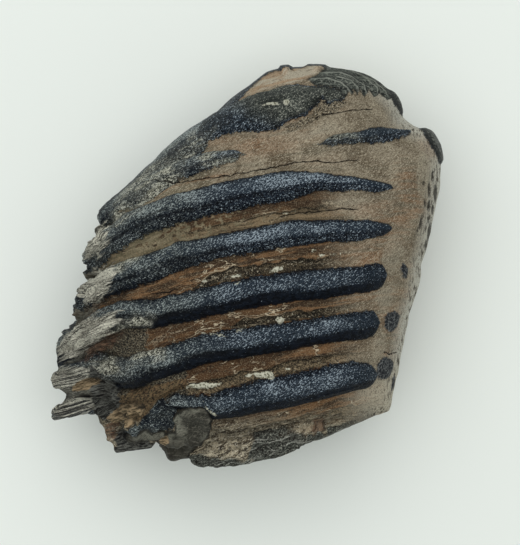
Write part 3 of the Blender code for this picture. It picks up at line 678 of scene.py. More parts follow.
out = out + KNOB_RISE * smoothstep(0.0, 1.2, ellipse_distance(x, y, KNOBS)) * (z > 30)
out = out + SPOT_RISE * smoothstep(-0.2, 0.8, marks["spot"])
out = out - PIT_DEPTH * smoothstep(-0.3, 0.5, marks["pit"])
out = out + GRAIN_RISE * smoothstep(-0.25, 0.7, marks["grain"])
out = out - CRACK_DEPTH * crack_on * bell(crack, 0.7)
print_range("relief", out)

# %% Plate ends on the chewing side
BUMP_LEVELS = (12, 22, 32, 42)
BUMP_RISE = 1.0
BUMP_HALF_WIDTH = 3.2
BUMP_HALF_HEIGHT = 4.0
for stations in PLATES[2:7]:
    tip_y = stations[-1][1]
    for level in BUMP_LEVELS:
        sideways = ((y - tip_y) / BUMP_HALF_WIDTH) ** 2
        upward = ((z - level) / BUMP_HALF_HEIGHT) ** 2
        bump = np.exp(-(sideways + upward))
        out = out + BUMP_RISE * bump * smoothstep(46.0, 56.0, x)
print("bumps", len(PLATES[2:7]) * len(BUMP_LEVELS))

# %% Slabs on the broken faces
SLAB_STEP = 1.3
SLAB_GAP_DEPTH = 0.7


def slabs(places, wanted):
    """Random height of the cell round each wanted place, and 1 in the gap between two cells."""
    height = np.full(len(places), 0.5)
    gap = np.zeros(len(places))
    for index in np.flatnonzero(wanted):
        distances, centres = noise.voronoi(Vector(places[index]))
        height[index] = noise.cell(centres[0] * 7.3)
        gap[index] = max(0.0, 1.0 - (distances[1] - distances[0]) / 0.12)
    return height, gap


slab_zone = np.maximum(root, lower_break) * (chip < 0)
slab_height, slab_gap = slabs(np.stack([x / 16.0, row * 4.5, z / 12.0], 1), slab_zone > 0.05)
print("points with slabs", int((slab_zone > 0.05).sum()))

# %% Roughness
out = out + 0.4 * rough * (0.3 + 0.7 * step + 1.2 * root) * (chip < 0)
fibres = noise_field(np.stack([x / 11.0, row * 8.0, z / 12.0], 1), 1.0, 3, 91.0)
splits = 0.5 - 2.2 * np.abs(fibres)
out = out + 1.1 * splits * root + 1.0 * splits * lower_break * (chip < 0)
ledges = np.abs(noise_field(points * np.array([0.35, 1.0, 1.6]), 11.0, 2, 80.0))
out = out + BREAK_ROUGHNESS * broken * (1.2 - 4.0 * ledges)
out = out + slab_zone * (SLAB_STEP * (slab_height - 0.5) - SLAB_GAP_DEPTH * slab_gap)
out = np.where(out < 0, out * (1.0 - 0.9 * thin * (z > 8)), out * (1.0 - 0.6 * thin * (flake < 0)))
out = out + 0.12 * fine
print_range("relief", out)

# %% Move the skin
shifted = points + normals * out[:, None]
shifted[:, 2] = np.maximum(shifted[:, 2], 0.0)
for vert, place in zip(skin.verts, shifted):
    vert.co = (place[0] + CENTRE_SHIFT[0], place[1] + CENTRE_SHIFT[1], place[2])
bmesh.ops.smooth_vert(skin, verts=[v for v in skin.verts if v.co.z > 0.5], factor=0.25,
                      use_axis_x=True, use_axis_y=True, use_axis_z=True)
bmesh.ops.scale(skin, vec=(MM_TO_M, MM_TO_M, MM_TO_M), verts=skin.verts)
bmesh.ops.triangulate(skin, faces=skin.faces)
for face in skin.faces:
    face.smooth = True
print("skin points moved", len(shifted))

# %% Make the tooth
tooth_mesh = bpy.data.meshes.new("mammoth_molar")
skin.to_mesh(tooth_mesh)
skin.free()
tooth = bpy.data.objects.new("mammoth_molar", tooth_mesh)
bpy.context.scene.collection.objects.link(tooth)
print("skin triangles", len(tooth_mesh.polygons))

# %% [markdown]
# ## Numbers stored on the skin
#
# A shader can't know where the plates are, so the script stores what it worked out as named
# attributes. The shader then turns them into crisp edges, with its own fine noise on top.

# %% Masks for the colours
LAST_ENAMEL_ROW = 6.5
CHIP_FOOT_Y = -62.8
merged = mark_distance(FRETTED[:2], upper)
enamel = np.where(row > LAST_ENAMEL_ROW, -5.0, np.maximum(-signed, 1.5 * merged))
for patch_of_enamel in (lip, flake, back, mark_distance(BAND, high)):
    enamel = np.maximum(enamel, patch_of_enamel)
painted_chip = np.where(inside_distance(x, y, CHIP) > -0.4, chip, np.minimum(chip, CHIP_FOOT_Y - y))
enamel = np.where(painted_chip > 0, -painted_chip, enamel)
dark_break = np.max([inside_distance(x, y, corners) for corners in DARK_BREAK], axis=0)
rim = smoothstep(0.88, 0.99, np.hypot(x, y) / reach) * smoothstep(25.0, 45.0, x)
# The place across each ridge that sets where painted highlights fall on the enamel; on the lip it is
# a slope with y and on the lower band a little noise.
lit = np.where(lip > 0, np.clip((y - 51.5) / 20.0 - 0.42, -0.5, -0.18) + 0.25 * rough, lean_in)
lit = np.where((signed > 0) & (inside_distance(x, y, BAND) > -0.5), -0.3 + 0.5 * rough, lit)
print("points on enamel and flakes", int((enamel > 0).sum()))

# %% Store the attributes
numbers = dict(
    marks, enamel=enamel, row=row, crown=crown, root=root, lower_break=lower_break,
    chip=painted_chip, crack=crack, crack_on=crack_on, arc=arc, arc_on=arc_on, ragged=ragged,
    relief=out, rim=rim, strips=strips, across=lit, rusty=rusty, crease=crease, flake=flake,
    dark_break=dark_break,
)
for name, values in numbers.items():
    attribute = tooth_mesh.attributes.new(name, "FLOAT", "POINT")
    attribute.data.foreach_set("value", np.asarray(values, dtype=np.float32))
print("attributes", len(tooth_mesh.attributes))

# %% [markdown]
# ## The finish
#
# Three materials meet on a fossil molar. Enamel turned almost black in the ground and kept a
# grainy shine. Cement soaked up iron, so it is tan where it was rubbed and rust brown under the
# ridges. The broken root side bleached to grey. One shader paints all of them with the stored
# numbers as masks. A painted image would need a flat map of this closed shape, while masks and
# solid noise need none. A few short helpers keep the wiring readable.

# %% The material and its nodes
finish = bpy.data.materials.new("fossil_tooth")
finish.use_nodes = True
tree = finish.node_tree
shader = tree.nodes["Principled BSDF"]


def add(kind, settings=None, inputs=None):
    """Adds one node, sets it up, and links or fills in its inputs."""
    made = tree.nodes.new(kind)
    for key, value in (settings or {}).items():
        setattr(made, key, value)
    for key, value in (inputs or {}).items():
        if isinstance(value, bpy.types.NodeSocket):
            tree.links.new(value, made.inputs[key])
        else:
            made.inputs[key].default_value = value
    return made


def stored(name):
    """Reads one stored number of the skin."""
    return add("ShaderNodeAttribute", {"attribute_name": name}).outputs["Fac"]


def calc(operation, a, b=0.0, c=0.0):
    """One sum on two or three values."""
    return add("ShaderNodeMath", {"operation": operation}, {0: a, 1: b, 2: c}).outputs[0]


print("shader", finish.name)

# %% Soft steps and products
def ease(value, low, high, to_low=0.0, to_high=1.0):
    """Goes softly from one value to another while the input goes from low to high."""
    settings = {"interpolation_type": "SMOOTHSTEP"}
    inputs = {"Value": value, "From Min": low, "From Max": high, "To Min": to_low,
              "To Max": to_high}
    return add("ShaderNodeMapRange", settings, inputs).outputs[0]


def product(*values):
    """All the values multiplied together."""
    result = values[0]
    for value in values[1:]:
        result = calc("MULTIPLY", result, value)
    return result


def scaled(value, factor, base):
    """A value times a factor, on top of a base."""
    return calc("MULTIPLY_ADD", value, factor, base)


def blend(mask, first, second):
    """Mixes two colours by a mask."""
    return add("ShaderNodeMix", {"data_type": "RGBA"}, {0: mask, 6: first, 7: second}).outputs[2]


print("nodes so far", len(tree.nodes))

# %% Noise and screen colours
def speckle(vector, scale, detail=2.0, roughness=0.5):
    """Noise between 0 and 1, read at a place."""
    inputs = {"Vector": vector, "Scale": scale, "Detail": detail, "Roughness": roughness}
    return add("ShaderNodeTexNoise", None, inputs).outputs["Fac"]


def tone(screen_colour):
    """A colour given as red, green and blue from 0 to 255, as the shader wants it.

    The numbers are those of the usual screen curve, sRGB.
    """
    values = [c / 255.0 for c in screen_colour]
    return tuple(c / 12.92 if c < 0.04045 else ((c + 0.055) / 1.055) ** 2.4
                 for c in values) + (1.0,)


print("middle grey for the shader", round(tone((128, 128, 128))[0], 3))

# %% Painting helpers
def two_tone(mask, first, second):
    """Goes from one screen colour to another by a mask."""
    return blend(mask, tone(first), tone(second))


def tint(colour, mask, screen_colour, strength=1.0):
    """Lays a screen colour over a colour where the mask says, as strongly as asked."""
    if strength != 1.0:
        mask = product(mask, strength)
    return blend(mask, colour, tone(screen_colour))


def layered(colour, layers_on_top):
    """Lays screen colours over a colour in turn: rows of mask, colour and strength."""
    for mask, screen_colour, strength in layers_on_top:
        colour = tint(colour, mask, screen_colour, strength)
    return colour


def mottled(grain, low, high, first, second, on_top=()):
    """Two screen colours mixed by a noise, with rows of mask, colour and strength on top."""
    return layered(two_tone(ease(grain, low, high), first, second), on_top)


def count_nodes(after):
    """Prints how many nodes the finish has so far."""
    print("nodes after", after, len(tree.nodes))


count_nodes("the helpers")

# %% [markdown]
# ## Places and grain
#
# Solid noise is read at the point's own place in the piece, in metres, so a scale of 1000 gives
# grains about a millimetre wide. The layered noise is read in row numbers across the plates,
# so its streaks follow every bend of the ridges.

# %% Noise for the finish
place = add("ShaderNodeTexCoord").outputs["Object"]
x_at, y_at, z_at = add("ShaderNodeSeparateXYZ", None, {0: place}).outputs
row_at = stored("row")


def joined(x_value, y_value, z_value):
    """One place made from three values."""
    return add("ShaderNodeCombineXYZ", None, {0: x_value, 1: y_value, 2: z_value}).outputs[0]


def stretched(vector, factors):
    """The same place, squeezed or stretched along each axis."""
    return add("ShaderNodeVectorMath", {"operation": "MULTIPLY"}, {0: vector, 1: factors}).outputs[0]


def spread(value, amount, base=0.0):
    """Noise centred on zero, made wider and added to a base value."""
    return scaled(calc("SUBTRACT", value, 0.5), amount, base)


def feathered(name, grain, amount, low, high):
    """Where a stored mark lies, with its edge broken up by noise."""
    return ease(spread(grain, amount, stored(name)), low, high)


along_rows = joined(product(x_at, 60.0), product(row_at, 9.0), product(z_at, 60.0))
slope = scaled(x_at, -0.25, y_at)
along_beds = joined(product(x_at, 60.0), product(slope, 400.0), product(z_at, 400.0))
across_slant = product(scaled(x_at, -0.8, y_at), 2200.0)
slanted = joined(product(calc("ADD", x_at, y_at), 900.0), across_slant, product(z_at, 1600.0))
print("places for the noise", 3)

# %% Grains and layers
grit = speckle(place, 2500.0, 1.0, 0.5)
sand = speckle(place, 1250.0, 2.0, 0.6)
pebble = speckle(place, 480.0, 3.0, 0.6)
cloud = speckle(place, 90.0, 3.0, 0.55)
patch = speckle(place, 32.0, 2.0, 0.5)
layer = speckle(along_rows, 1.0, 4.0, 0.6)
fibre = speckle(along_rows, 4.5, 3.0, 0.65)
strand = speckle(stretched(along_rows, (0.9, 4.6, 0.9)), 1.0, 3.0, 0.6)
split = speckle(stretched(along_rows, (1.6, 0.55, 1.6)), 1.0, 3.0, 0.6)
bedding = speckle(along_beds, 1.0, 3.0, 0.6)
fine_bedding = speckle(along_beds, 2.4, 3.0, 0.65)
scratch = speckle(stretched(place, (1400.0, 260.0, 260.0)), 1.0, 2.0, 0.6)
fleck = speckle(slanted, 1.0, 2.0, 0.65)
fine_sand = speckle(place, 1500.0, 2.0, 0.7)
brushed = speckle(stretched(slanted, (0.5, 0.8, 0.8)), 1.0, 3.0, 0.75)
count_nodes("grains")

# %% Split blocks
wobble = joined(spread(pebble, 0.7), spread(sand, 0.6), 0.0)
cell_inputs = {0: stretched(along_rows, (2.1, 1.3, 2.1)), 1: wobble}
cell_place = add("ShaderNodeVectorMath", {"operation": "ADD"}, cell_inputs).outputs[0]
cell_edge = add("ShaderNodeTexVoronoi", {"feature": "DISTANCE_TO_EDGE"}, {"Vector": cell_place})
cell_tint = add("ShaderNodeTexVoronoi", {"feature": "F1"}, {"Vector": cell_place})
cell_value = add("ShaderNodeSeparateColor", None, {0: cell_tint.outputs["Color"]}).outputs[0]
print("noise nodes", len([n for n in tree.nodes if n.bl_idname == "ShaderNodeTexNoise"]))

# %% [markdown]
# ## Cement
#
# Under each ridge the cement is smooth and stained by iron, and fine pale cracks wander along
# it. Above the next ridge it broke away and shows a rough olive layer. To the left the stain
# stops and older, darker cement shows. On the chewing side it was rubbed to a mottled tan,
# paler toward the edge.

# %% Tan cement
to_left = ease(x_at, 0.0, -0.03)
warm = product(ease(patch, 0.5, 0.62), ease(cloud, 0.35, 0.55))
stain = product(ease(layer, 0.46, 0.6), ease(patch, 0.4, 0.58))
tan = mottled(cloud, 0.38, 0.6, (94, 82, 65), (140, 129, 110), [
    (stored("crown"), (120, 111, 95), 0.35),
    (warm, (132, 102, 76), 0.35),
    (to_left, (116, 109, 90), 0.7),
    (stain, (140, 104, 74), 0.5),
    (ease(layer, 0.46, 0.36), (92, 88, 74), 0.45),
])
count_nodes("stains")

# %% Pale edges and patches of the tan
rim_high = product(stored("rim"), ease(z_at, 0.03, 0.05, 0.45, 1.0))
tan = tint(tan, rim_high, (190, 188, 177))
low_right = product(ease(y_at, -0.03, -0.05), ease(x_at, 0.02, 0.045))
tan = tint(tan, low_right, (182, 174, 155), 0.8)
lens_mask = ease(stored("lens"), -0.5, 1.0)
tan = blend(lens_mask, tan, two_tone(stain, (170, 160, 142), (156, 132, 106)))
pale_at = feathered("pale", cloud, 6.0, -1.5, 2.2)
tan = tint(tan, pale_at, (146, 139, 122), 0.5)
glow_mask = ease(spread(cloud, 6.0, spread(layer, 3.0, stored("glow"))), -1.5, 2.2)
tan = tint(tan, glow_mask, (140, 104, 76), 0.35)
count_nodes("tan patches")

# %% Grain of the tan
dots = scaled(lens_mask, -0.5, 0.75)
tan = layered(tan, [
    (product(ease(brushed, 0.46, 0.38), dots), (74, 62, 48), 1.0),
    (product(ease(brushed, 0.54, 0.62), dots), (168, 157, 136), 1.0),
    (ease(pebble, 0.42, 0.34), (80, 68, 54), 0.5),
    (ease(grit, 0.56, 0.66), (196, 187, 168), 0.35),
    (ease(grit, 0.42, 0.32), (52, 45, 36), 0.5),
])
rubbed_line = product(ease(scratch, 0.47, 0.4), ease(cloud, 0.4, 0.52))
tan = tint(tan, product(rubbed_line, rim_high), (62, 54, 44))
count_nodes("tan")

# %% Brown strips under the ridges
rust = product(ease(row_at, 3.9, 4.1), ease(x_at, 0.02, 0.0))
brown = mottled(layer, 0.44, 0.58, (58, 44, 32), (112, 84, 58), [
    (ease(fibre, 0.56, 0.64), (132, 108, 82), 0.4),
    (ease(fibre, 0.43, 0.36), (40, 30, 23), 0.7),
    (ease(row_at, 2.95, 2.85), (58, 44, 32), 0.6),
    (product(rust, ease(row_at, 4.8, 5.1, 0.55, 0.8)), (64, 44, 28), 1.0),
])
count_nodes("brown strips")

# %% Rough grooves above the next ridge
edge_at = spread(pebble, 0.05, stored("ragged"))
lower_tan = mottled(layer, 0.42, 0.58, (92, 80, 62), (126, 109, 85))
lower_dark = mottled(layer, 0.42, 0.58, (30, 27, 22), (66, 58, 45), [
    (ease(sand, 0.6, 0.66), (170, 163, 144), 0.75),
    (ease(pebble, 0.42, 0.36), (14, 12, 10), 1.0),
])
lower = blend(ease(spread(layer, 0.6, row_at), 2.95, 3.1), lower_tan, lower_dark)
lower = blend(product(ease(row_at, 5.2, 5.4), ease(sand, 0.45, 0.55, 0.1, 0.8)), lower, lower_tan)
band = blend(ease(edge_at, 0.5, 0.56), brown, lower)
count_nodes("strip bands")

# %% Cracks and ledges along the strips
line_at = calc("SUBTRACT", split, 0.5)
pale_line = product(ease(calc("ABSOLUTE", line_at), 0.016, 0.005), ease(cloud, 0.46, 0.56))
pale_line = product(pale_line, ease(x_at, -0.03, -0.012, 0.3, 1.0))
pale_line = product(pale_line, ease(edge_at, 0.56, 0.66, 1.0, 0.35))
dark_line = product(ease(line_at, 0.004, 0.014), ease(line_at, 0.045, 0.02))
step_line = product(ease(edge_at, 0.46, 0.49), ease(edge_at, 0.53, 0.5))
step_foot_shade = product(ease(edge_at, 0.52, 0.55), ease(edge_at, 0.64, 0.58))
band = layered(band, [
    (dark_line, (34, 27, 21), 0.7),
    (pale_line, (190, 176, 150), 0.95),
    (product(step_line, ease(cloud, 0.5, 0.6)), (172, 156, 130), 0.8),
    # Painted shade along the foot of the step down into the rough groove.
    (step_foot_shade, (20, 17, 14), 0.85),
])
count_nodes("strip lines")

# %% Older cement on the left
smooth_left = mottled(layer, 0.4, 0.6, (98, 90, 70), (126, 116, 94))
smooth_left = tint(smooth_left, stain, (128, 104, 78), 0.5)
dark_left = mottled(sand, 0.42, 0.56, (24, 22, 20), (72, 66, 55))
dark_left = tint(dark_left, ease(fleck, 0.59, 0.66), (140, 137, 120))
older = blend(ease(row_at, 3.9, 4.0), smooth_left, dark_left)
band = blend(feathered("rusty", pebble, 3.5, 0.2, -0.2), band, older)
band = tint(band, ease(grit, 0.55, 0.66), (168, 152, 124), 0.3)
band = tint(band, ease(grit, 0.44, 0.34), (36, 30, 24), 0.45)
cement_colour = blend(stored("strips"), tan, band)
count_nodes("strip")

# %% Crust
crust_mask = feathered("crust", pebble, 2.4, -0.8, 0.6)
crusty = mottled(sand, 0.44, 0.52, (30, 27, 23), (96, 86, 70))
crusty = tint(crusty, ease(fleck, 0.53, 0.62), (168, 158, 138))
cement_colour = blend(crust_mask, cement_colour, crusty)
count_nodes("crust")

# %% Broken lower face
near_top = ease(z_at, 0.052, 0.062)
coarse_beds = scaled(near_top, calc("SUBTRACT", strand, bedding), bedding)
fine_beds = scaled(near_top, calc("SUBTRACT", fibre, fine_bedding), fine_bedding)
broken_colour = mottled(fine_beds, 0.44, 0.53, (70, 62, 50), (158, 147, 124), [
    (ease(coarse_beds, 0.54, 0.6), (186, 176, 154), 0.75),
    (ease(coarse_beds, 0.45, 0.39), (40, 35, 29), 0.75),
    (ease(fleck, 0.58, 0.64), (208, 200, 180), 1.0),
    (stain, (132, 106, 82), 0.3),
    (ease(cell_value, 0.5, 0.9), (66, 58, 47), 0.3),
])
count_nodes("pale beds")

# %% Dark parts of the lower face
broken_dark = mottled(sand, 0.42, 0.56, (28, 28, 26), (74, 76, 70), [
    (ease(fleck, 0.57, 0.64), (150, 150, 138), 1.0),
    (ease(coarse_beds, 0.56, 0.62), (172, 172, 162), 0.75),
])
lower_row = spread(layer, 0.25, row_at)
deep_row = product(ease(lower_row, 6.95, 7.05), ease(z_at, 0.05, 0.045))
dark_mask = calc("MAXIMUM", feathered("dark_break", layer, 4.0, -0.3, 0.6), deep_row)
broken_colour = blend(dark_mask, broken_colour, broken_dark)
broken_colour = tint(broken_colour, ease(sand, 0.45, 0.36), (34, 29, 24), 0.6)
cement_colour = blend(stored("lower_break"), cement_colour, broken_colour)
far_left = ease(x_at, -0.053, -0.059, 0.0, 0.75)
far_colour = mottled(fibre, 0.42, 0.56, (46, 46, 43), (104, 104, 96))
cement_colour = blend(far_left, cement_colour, far_colour)
count_nodes("cement")

# %% [markdown]
# ## Enamel
#
# The enamel is nearly black with a blue cast. Its grainy shine on the upper half of each
# ridge, the half that faces the light, is painted into the colour as sheen and glints, on top of
# a little real gloss and fine bumps, and the lower half gets fewer glints as painted shade. Its
# edges are feathered, because the cement was worn off grain by grain. Where the tooth was
# bleached it turned grey, with dark grains left in the hollows.

# %% Where the enamel shows and where its painted highlights go
feather = spread(grit, 1.6, spread(pebble, 1.5, stored("enamel")))
enamel_mask = ease(feather, -0.15, 0.15)
fret_at = feathered("fretted", cloud, 8.0, -2.0, 2.0)
across_at = spread(layer, 0.7, stored("across"))
# The half of each ridge that faces the light, where highlights are painted into the colour.
facing_light = product(ease(across_at, -0.45, 0.1), ease(across_at, 1.0, 0.55))
nose = ease(x_at, 0.031, 0.046)
lip_at = scaled(x_at, 0.5, spread(cloud, 0.01, y_at))
greyed = product(ease(stored("lip"), 0.0, 1.0), ease(lip_at, 0.053, 0.063))
upper_rows = ease(row_at, 3.4, 3.2, 0.0, 0.25)
count_nodes("enamel zones")

# %% How many painted glints each place gets
# Painted glints: more where a ridge faces the light and fewer on its lower half, which is painted
# shade, and fewer on the smooth ends on the right.
glint_cover = scaled(facing_light, scaled(nose, -0.8, 0.7), 0.35)
shaded_lower_half = scaled(ease(row_at, 3.2, 3.4), 0.5, 0.5)
glint_cover = calc("SUBTRACT", glint_cover, product(ease(across_at, -0.15, -0.5), shaded_lower_half))
glint_cover = scaled(facing_light, upper_rows, glint_cover)
glint_cover = scaled(to_left, 0.15, glint_cover)
shelf_at = product(ease(across_at, -0.3, -0.5), ease(row_at, 3.4, 3.2))
glint_cover = scaled(shelf_at, 0.75, glint_cover)
glint_cover = product(glint_cover, ease(cloud, 0.38, 0.6, 0.65, 1.2))
glint_cover = scaled(greyed, 0.1, glint_cover)
count_nodes("fleck cover")

# %% Enamel, its grain, painted sheen and painted glints
enamel_colour = mottled(pebble, 0.4, 0.6, (4, 8, 15), (13, 20, 30))
# Painted sheen: a lighter blue grey along the half of each ridge that faces the light.
painted_sheen = product(facing_light, scaled(upper_rows, 0.6, 0.3))
enamel_colour = blend(painted_sheen, enamel_colour, two_tone(nose, (46, 58, 70), (36, 50, 62)))
enamel_colour = tint(enamel_colour, greyed, (38, 41, 39))
# Middle-tone grain, denser where more painted glints go, so it is partly grain and partly painted
# sheen.
middle = ease(scaled(glint_cover, 0.13, fine_sand), 0.58, 0.64)
middle_colour = two_tone(to_left, (46, 56, 66), (53, 59, 61))
middle_colour = tint(middle_colour, greyed, (66, 70, 65))
enamel_colour = blend(middle, enamel_colour, middle_colour)
# Painted glints: pale flecks, most where the enamel faces the light.
bright = ease(scaled(glint_cover, 0.1, fleck), 0.645, 0.7)
bright_colour = two_tone(to_left, (150, 162, 171), (144, 152, 150))
bright_colour = tint(bright_colour, greyed, (146, 147, 136))
enamel_colour = blend(bright, enamel_colour, bright_colour)
count_nodes("enamel flecks")

# %% Fretted enamel
fret_light = two_tone(to_left, (84, 86, 80), (112, 112, 99))
fret_colour = blend(ease(sand, 0.45, 0.51), tone((24, 26, 25)), fret_light)
fret_grain = scaled(pebble, 0.5, fleck)
fret_bright = two_tone(to_left, (146, 148, 138), (200, 198, 182))
fret_colour = blend(ease(fret_grain, 0.76, 0.81), fret_colour, fret_bright)
fret_mask = product(fret_at, ease(spread(layer, 1.0, cloud), 0.42, 0.58, 0.3, 1.0))
enamel_colour = blend(fret_mask, enamel_colour, fret_colour)
# Painted shade: the crease along the ridges is painted near black.
enamel_colour = tint(enamel_colour, stored("crease"), (6, 8, 12), 0.85)
# Painted shadow along the lower edge of the raised lip.
lip_edge_shadow = product(greyed, feathered("lip", pebble, 1.0, 1.5, 0.5))
enamel_colour = tint(enamel_colour, lip_edge_shadow, (20, 21, 20), 0.75)
colour = blend(enamel_mask, cement_colour, enamel_colour)
count_nodes("enamel")

# %% Bleached ends
worn_mask = feathered("worn", layer, 9.0, -0.6, 0.8)
bleached = mottled(strand, 0.4, 0.56, (112, 109, 99), (224, 220, 203), [
    (ease(cloud, 0.48, 0.62), (142, 138, 124), 0.5),
    (ease(strand, 0.42, 0.36), (34, 34, 32), 1.0),
    (ease(fleck, 0.56, 0.62), (214, 211, 196), 0.7),
    (ease(sand, 0.44, 0.34), (46, 46, 44), 0.7),
])
lower_left = ease(y_at, -0.036, -0.042)
bleached = tint(bleached, product(lower_left, ease(strand, 0.45, 0.54, 0.8, 0.05)), (42, 44, 46))
colour = blend(worn_mask, colour, bleached)
count_nodes("bleached ends")

# %% Olive patch and dark walls
olive_mask = feathered("olive", pebble, 2.0, -0.2, 0.4)
olive_colour = mottled(sand, 0.42, 0.58, (42, 36, 28), (100, 86, 64), [
    (ease(brushed, 0.48, 0.58), (112, 88, 64), 0.6),
    (ease(brushed, 0.44, 0.36), (26, 23, 19), 1.0),
])
colour = blend(olive_mask, colour, olive_colour)
wall_mask = feathered("wall", layer, 3.0, -0.3, 0.5)
colour = blend(wall_mask, colour, mottled(fibre, 0.42, 0.58, (30, 30, 30), (104, 104, 98)))
count_nodes("olive patch")

# %% Reddish ends and split blocks
reddish_mask = product(feathered("reddish", pebble, 5.0, -0.8, 1.0), 0.65)
colour = blend(reddish_mask, colour, mottled(fibre, 0.42, 0.56, (54, 38, 30), (112, 82, 64)))
break_zone = calc("MAXIMUM", stored("root"), stored("lower_break"))
tinted = product(break_zone, ease(cell_value, 0.35, 0.0), 0.45)
colour = tint(colour, tinted, (48, 46, 42))
split_line = product(ease(cell_edge.outputs["Distance"], 0.07, 0.015), ease(cloud, 0.4, 0.52))
colour = tint(colour, product(split_line, break_zone), (26, 25, 24), 0.8)
count_nodes("break")

# %% [markdown]
# ## Marks
#
# The stored outlines and lines become colour here: the smooth grey chip, the layered swirl, dark
# tips and pits, pale mineral grains and thin cracks.

# %% Smooth chip
chip_at = spread(pebble, 0.8, stored("chip"))
chip_mask = ease(chip_at, -0.1, 0.2)
chip_low = ease(y_at, -0.063, -0.068)
chip_colour = mottled(cloud, 0.42, 0.58, (54, 53, 47), (112, 111, 100), [
    (ease(brushed, 0.46, 0.38), (26, 25, 22), 0.7),
    (ease(brushed, 0.56, 0.64), (134, 130, 116), 0.5),
    (chip_low, (44, 41, 35), 0.75),
    (ease(sand, 0.46, 0.38), (34, 32, 28), 0.5),
    (ease(fibre, 0.54, 0.62), (112, 108, 98), 0.4),
    (ease(chip_at, 0.9, 0.4), (24, 22, 20), 0.8),
])
colour = blend(chip_mask, colour, chip_colour)
count_nodes("chip")

# %% Facets and the worn swirl
facet_mask = feathered("facet", pebble, 1.6, -0.1, 0.3)
colour = blend(facet_mask, colour, mottled(fibre, 0.42, 0.56, (84, 73, 56), (152, 132, 104)))
swirl_mask = feathered("swirl", grit, 1.0, -0.1, 0.3)
swirl_colour = mottled(strand, 0.42, 0.56, (30, 33, 32), (82, 86, 80), [
    (ease(sand, 0.53, 0.62), (136, 138, 128), 0.6),
    (ease(grit, 0.45, 0.35), (26, 28, 28), 0.6),
    (ease(stored("swirl"), 1.0, 0.2), (26, 27, 26), 0.7),
])
colour = blend(swirl_mask, colour, swirl_colour)
count_nodes("swirl")

# %% Arcs on the swirl
arc_shift = spread(pebble, 0.5, stored("arc"))
arc_width = product(ease(calc("ABSOLUTE", arc_shift), 0.36, 0.12), stored("arc_on"))
colour = tint(colour, product(arc_width, ease(cloud, 0.35, 0.6, 0.2, 0.6)), (152, 154, 144))
arc_shadow = product(ease(arc_shift, 0.2, 0.6), ease(arc_shift, 1.5, 0.8))
colour = tint(colour, product(arc_shadow, stored("arc_on")), (28, 29, 28), 0.7)
count_nodes("arcs")

# %% Flakes, spots, pits and grains
flake_mask = feathered("flake", pebble, 2.0, -0.1, 0.3)
flake_colour = mottled(sand, 0.44, 0.64, (34, 36, 36), (108, 110, 103))
flake_colour = tint(flake_colour, ease(stored("flake"), 1.4, 0.5), (34, 36, 36))
colour = blend(flake_mask, colour, flake_colour)
spot_mask = ease(spread(grit, 1.6, spread(pebble, 1.8, stored("spot"))), -0.15, 0.25)
colour = blend(spot_mask, colour, mottled(sand, 0.48, 0.6, (30, 32, 36), (96, 98, 98)))
pit_mask = product(feathered("pit", sand, 1.4, -0.2, 0.3), 0.85)
colour = tint(colour, pit_mask, (34, 31, 27))
grain_mask = feathered("grain", pebble, 1.6, -0.1, 0.15)
grain_colour = mottled(sand, 0.38, 0.54, (112, 110, 92), (200, 198, 180))
colour = blend(product(grain_mask, 0.9), colour, grain_colour)
count_nodes("marks")

# %% Cracks, and painted shade in the hollows and deep places
crack_at = calc("ABSOLUTE", spread(sand, 0.6, stored("crack")))
crack_mask = product(ease(crack_at, 0.26, 0.1), stored("crack_on"), ease(fibre, 0.35, 0.5, 0.35, 1.0))
colour = layered(colour, [
    (crack_mask, (30, 26, 22), 1.0),
    # Painted shade: the hollows nearly black, and places pressed deep into the skin darker.
    (ease(stored("hollow"), -0.3, 0.6), (14, 13, 12), 1.0),
    (ease(stored("relief"), -1.8, -4.2, 0.0, 0.5), (30, 26, 22), 1.0),
])
tree.links.new(colour, shader.inputs["Base Color"])
count_nodes("colour")

# %% [markdown]
# ## Shine and fine bumps
#
# Enamel keeps a grainy gloss and cement is dull. Bumps under half a millimetre are too small to
# model, so they are left to the shader's bump, while every ridge, ledge and crack you can see
# in outline is real geometry.

# %% Shine
dull = scaled(enamel_mask, -0.3, 0.78)
dull = scaled(worn_mask, 0.15, dull)
dull = scaled(chip_mask, -0.2, dull)
dull = spread(sand, 0.3, dull)
tree.links.new(dull, shader.inputs["Roughness"])
count_nodes("shine")

# %% Fine bumps
BUMP_HEIGHT = 0.0012
grain_height = product(sand, scaled(enamel_mask, 0.6, 0.25))
lump_height = product(pebble, scaled(enamel_mask, 0.6, 0.2))
layer_height = product(fibre, scaled(worn_mask, 0.8, 0.3))
height = calc("ADD", calc("ADD", grain_height, lump_height), layer_height)
height = product(height, scaled(chip_mask, -0.6, 1.0))
height = scaled(crack_mask, -0.5, height)
bump = add("ShaderNodeBump", None, {"Height": height, "Distance": BUMP_HEIGHT, "Strength": 1.0})
tree.links.new(bump.outputs["Normal"], shader.inputs["Normal"])
shader.inputs["Specular IOR Level"].default_value = 0.1
count_nodes("bumps")

# %% Put the finish on the tooth
tooth_mesh.materials.append(finish)
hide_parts("molar")
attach(tooth, "root")
print("slot", tooth_mesh.materials[0].name)

# %% [markdown]
# ## Floor, light and camera
#
# The photo looks straight down on a pale ground, in soft light with a weak shadow. One large
# area light and a bright sky give that. The long lens keeps the outline close to true.

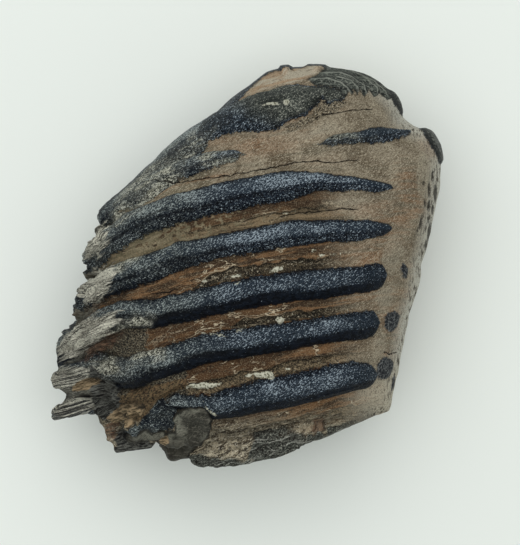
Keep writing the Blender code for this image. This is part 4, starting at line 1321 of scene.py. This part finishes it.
# %% Floor
FLOOR_HALF = 1.5
PAPER_COLOUR = (0.815, 0.845, 0.805, 1)
PAPER_ROUGHNESS = 0.9
floor_bm = bmesh.new()
bmesh.ops.create_grid(floor_bm, x_segments=2, y_segments=2, size=FLOOR_HALF)
floor_mesh = bpy.data.meshes.new("floor")
floor_bm.to_mesh(floor_mesh)
floor_bm.free()
floor = bpy.data.objects.new("floor", floor_mesh)
bpy.context.scene.collection.objects.link(floor)
paper = bpy.data.materials.new("pale_paper")
paper.use_nodes = True
paper_shader = paper.node_tree.nodes["Principled BSDF"]
paper_shader.inputs["Base Color"].default_value = PAPER_COLOUR
paper_shader.inputs["Roughness"].default_value = PAPER_ROUGHNESS
floor_mesh.materials.append(paper)
print("floor", 2 * FLOOR_HALF, "metres wide")

# %% Light
SKY_COLOUR = (0.95, 1.0, 0.98, 1)
SKY_STRENGTH = 0.53
LIGHT_POWER = 14.3
LIGHT_SIZE = 1.8
LIGHT_PLACE = (-0.08, 0.28, 1.3)
TOOTH_MIDDLE = (0, 0, 0.04)
world = bpy.data.worlds.new("studio")
world.use_nodes = True
sky = world.node_tree.nodes["Background"]
sky.inputs["Color"].default_value = SKY_COLOUR
sky.inputs["Strength"].default_value = SKY_STRENGTH
bpy.context.scene.world = world
softbox = bpy.data.lights.new("softbox", "AREA")
softbox.energy = LIGHT_POWER
softbox.size = LIGHT_SIZE
softbox_holder = bpy.data.objects.new("softbox", softbox)
softbox_holder.location = LIGHT_PLACE
aim = Vector(TOOTH_MIDDLE) - softbox_holder.location
softbox_holder.rotation_euler = aim.to_track_quat("-Z", "Y").to_euler()
bpy.context.scene.collection.objects.link(softbox_holder)
print("light", LIGHT_POWER, "watts,", LIGHT_SIZE, "metres wide")

# %% Camera
CAMERA_PLACE = (0.0053, -0.0027, 0.84)
LENS_MM = 137.2
SENSOR_MM = 36.0
camera = bpy.data.cameras.new("photo_view")
camera.sensor_width = SENSOR_MM
camera.lens = LENS_MM
camera_holder = bpy.data.objects.new("photo_view", camera)
camera_holder.location = CAMERA_PLACE
bpy.context.scene.collection.objects.link(camera_holder)
bpy.context.scene.camera = camera_holder
bpy.context.scene.view_settings.view_transform = "Standard"
print("camera height", camera_holder.location.z)
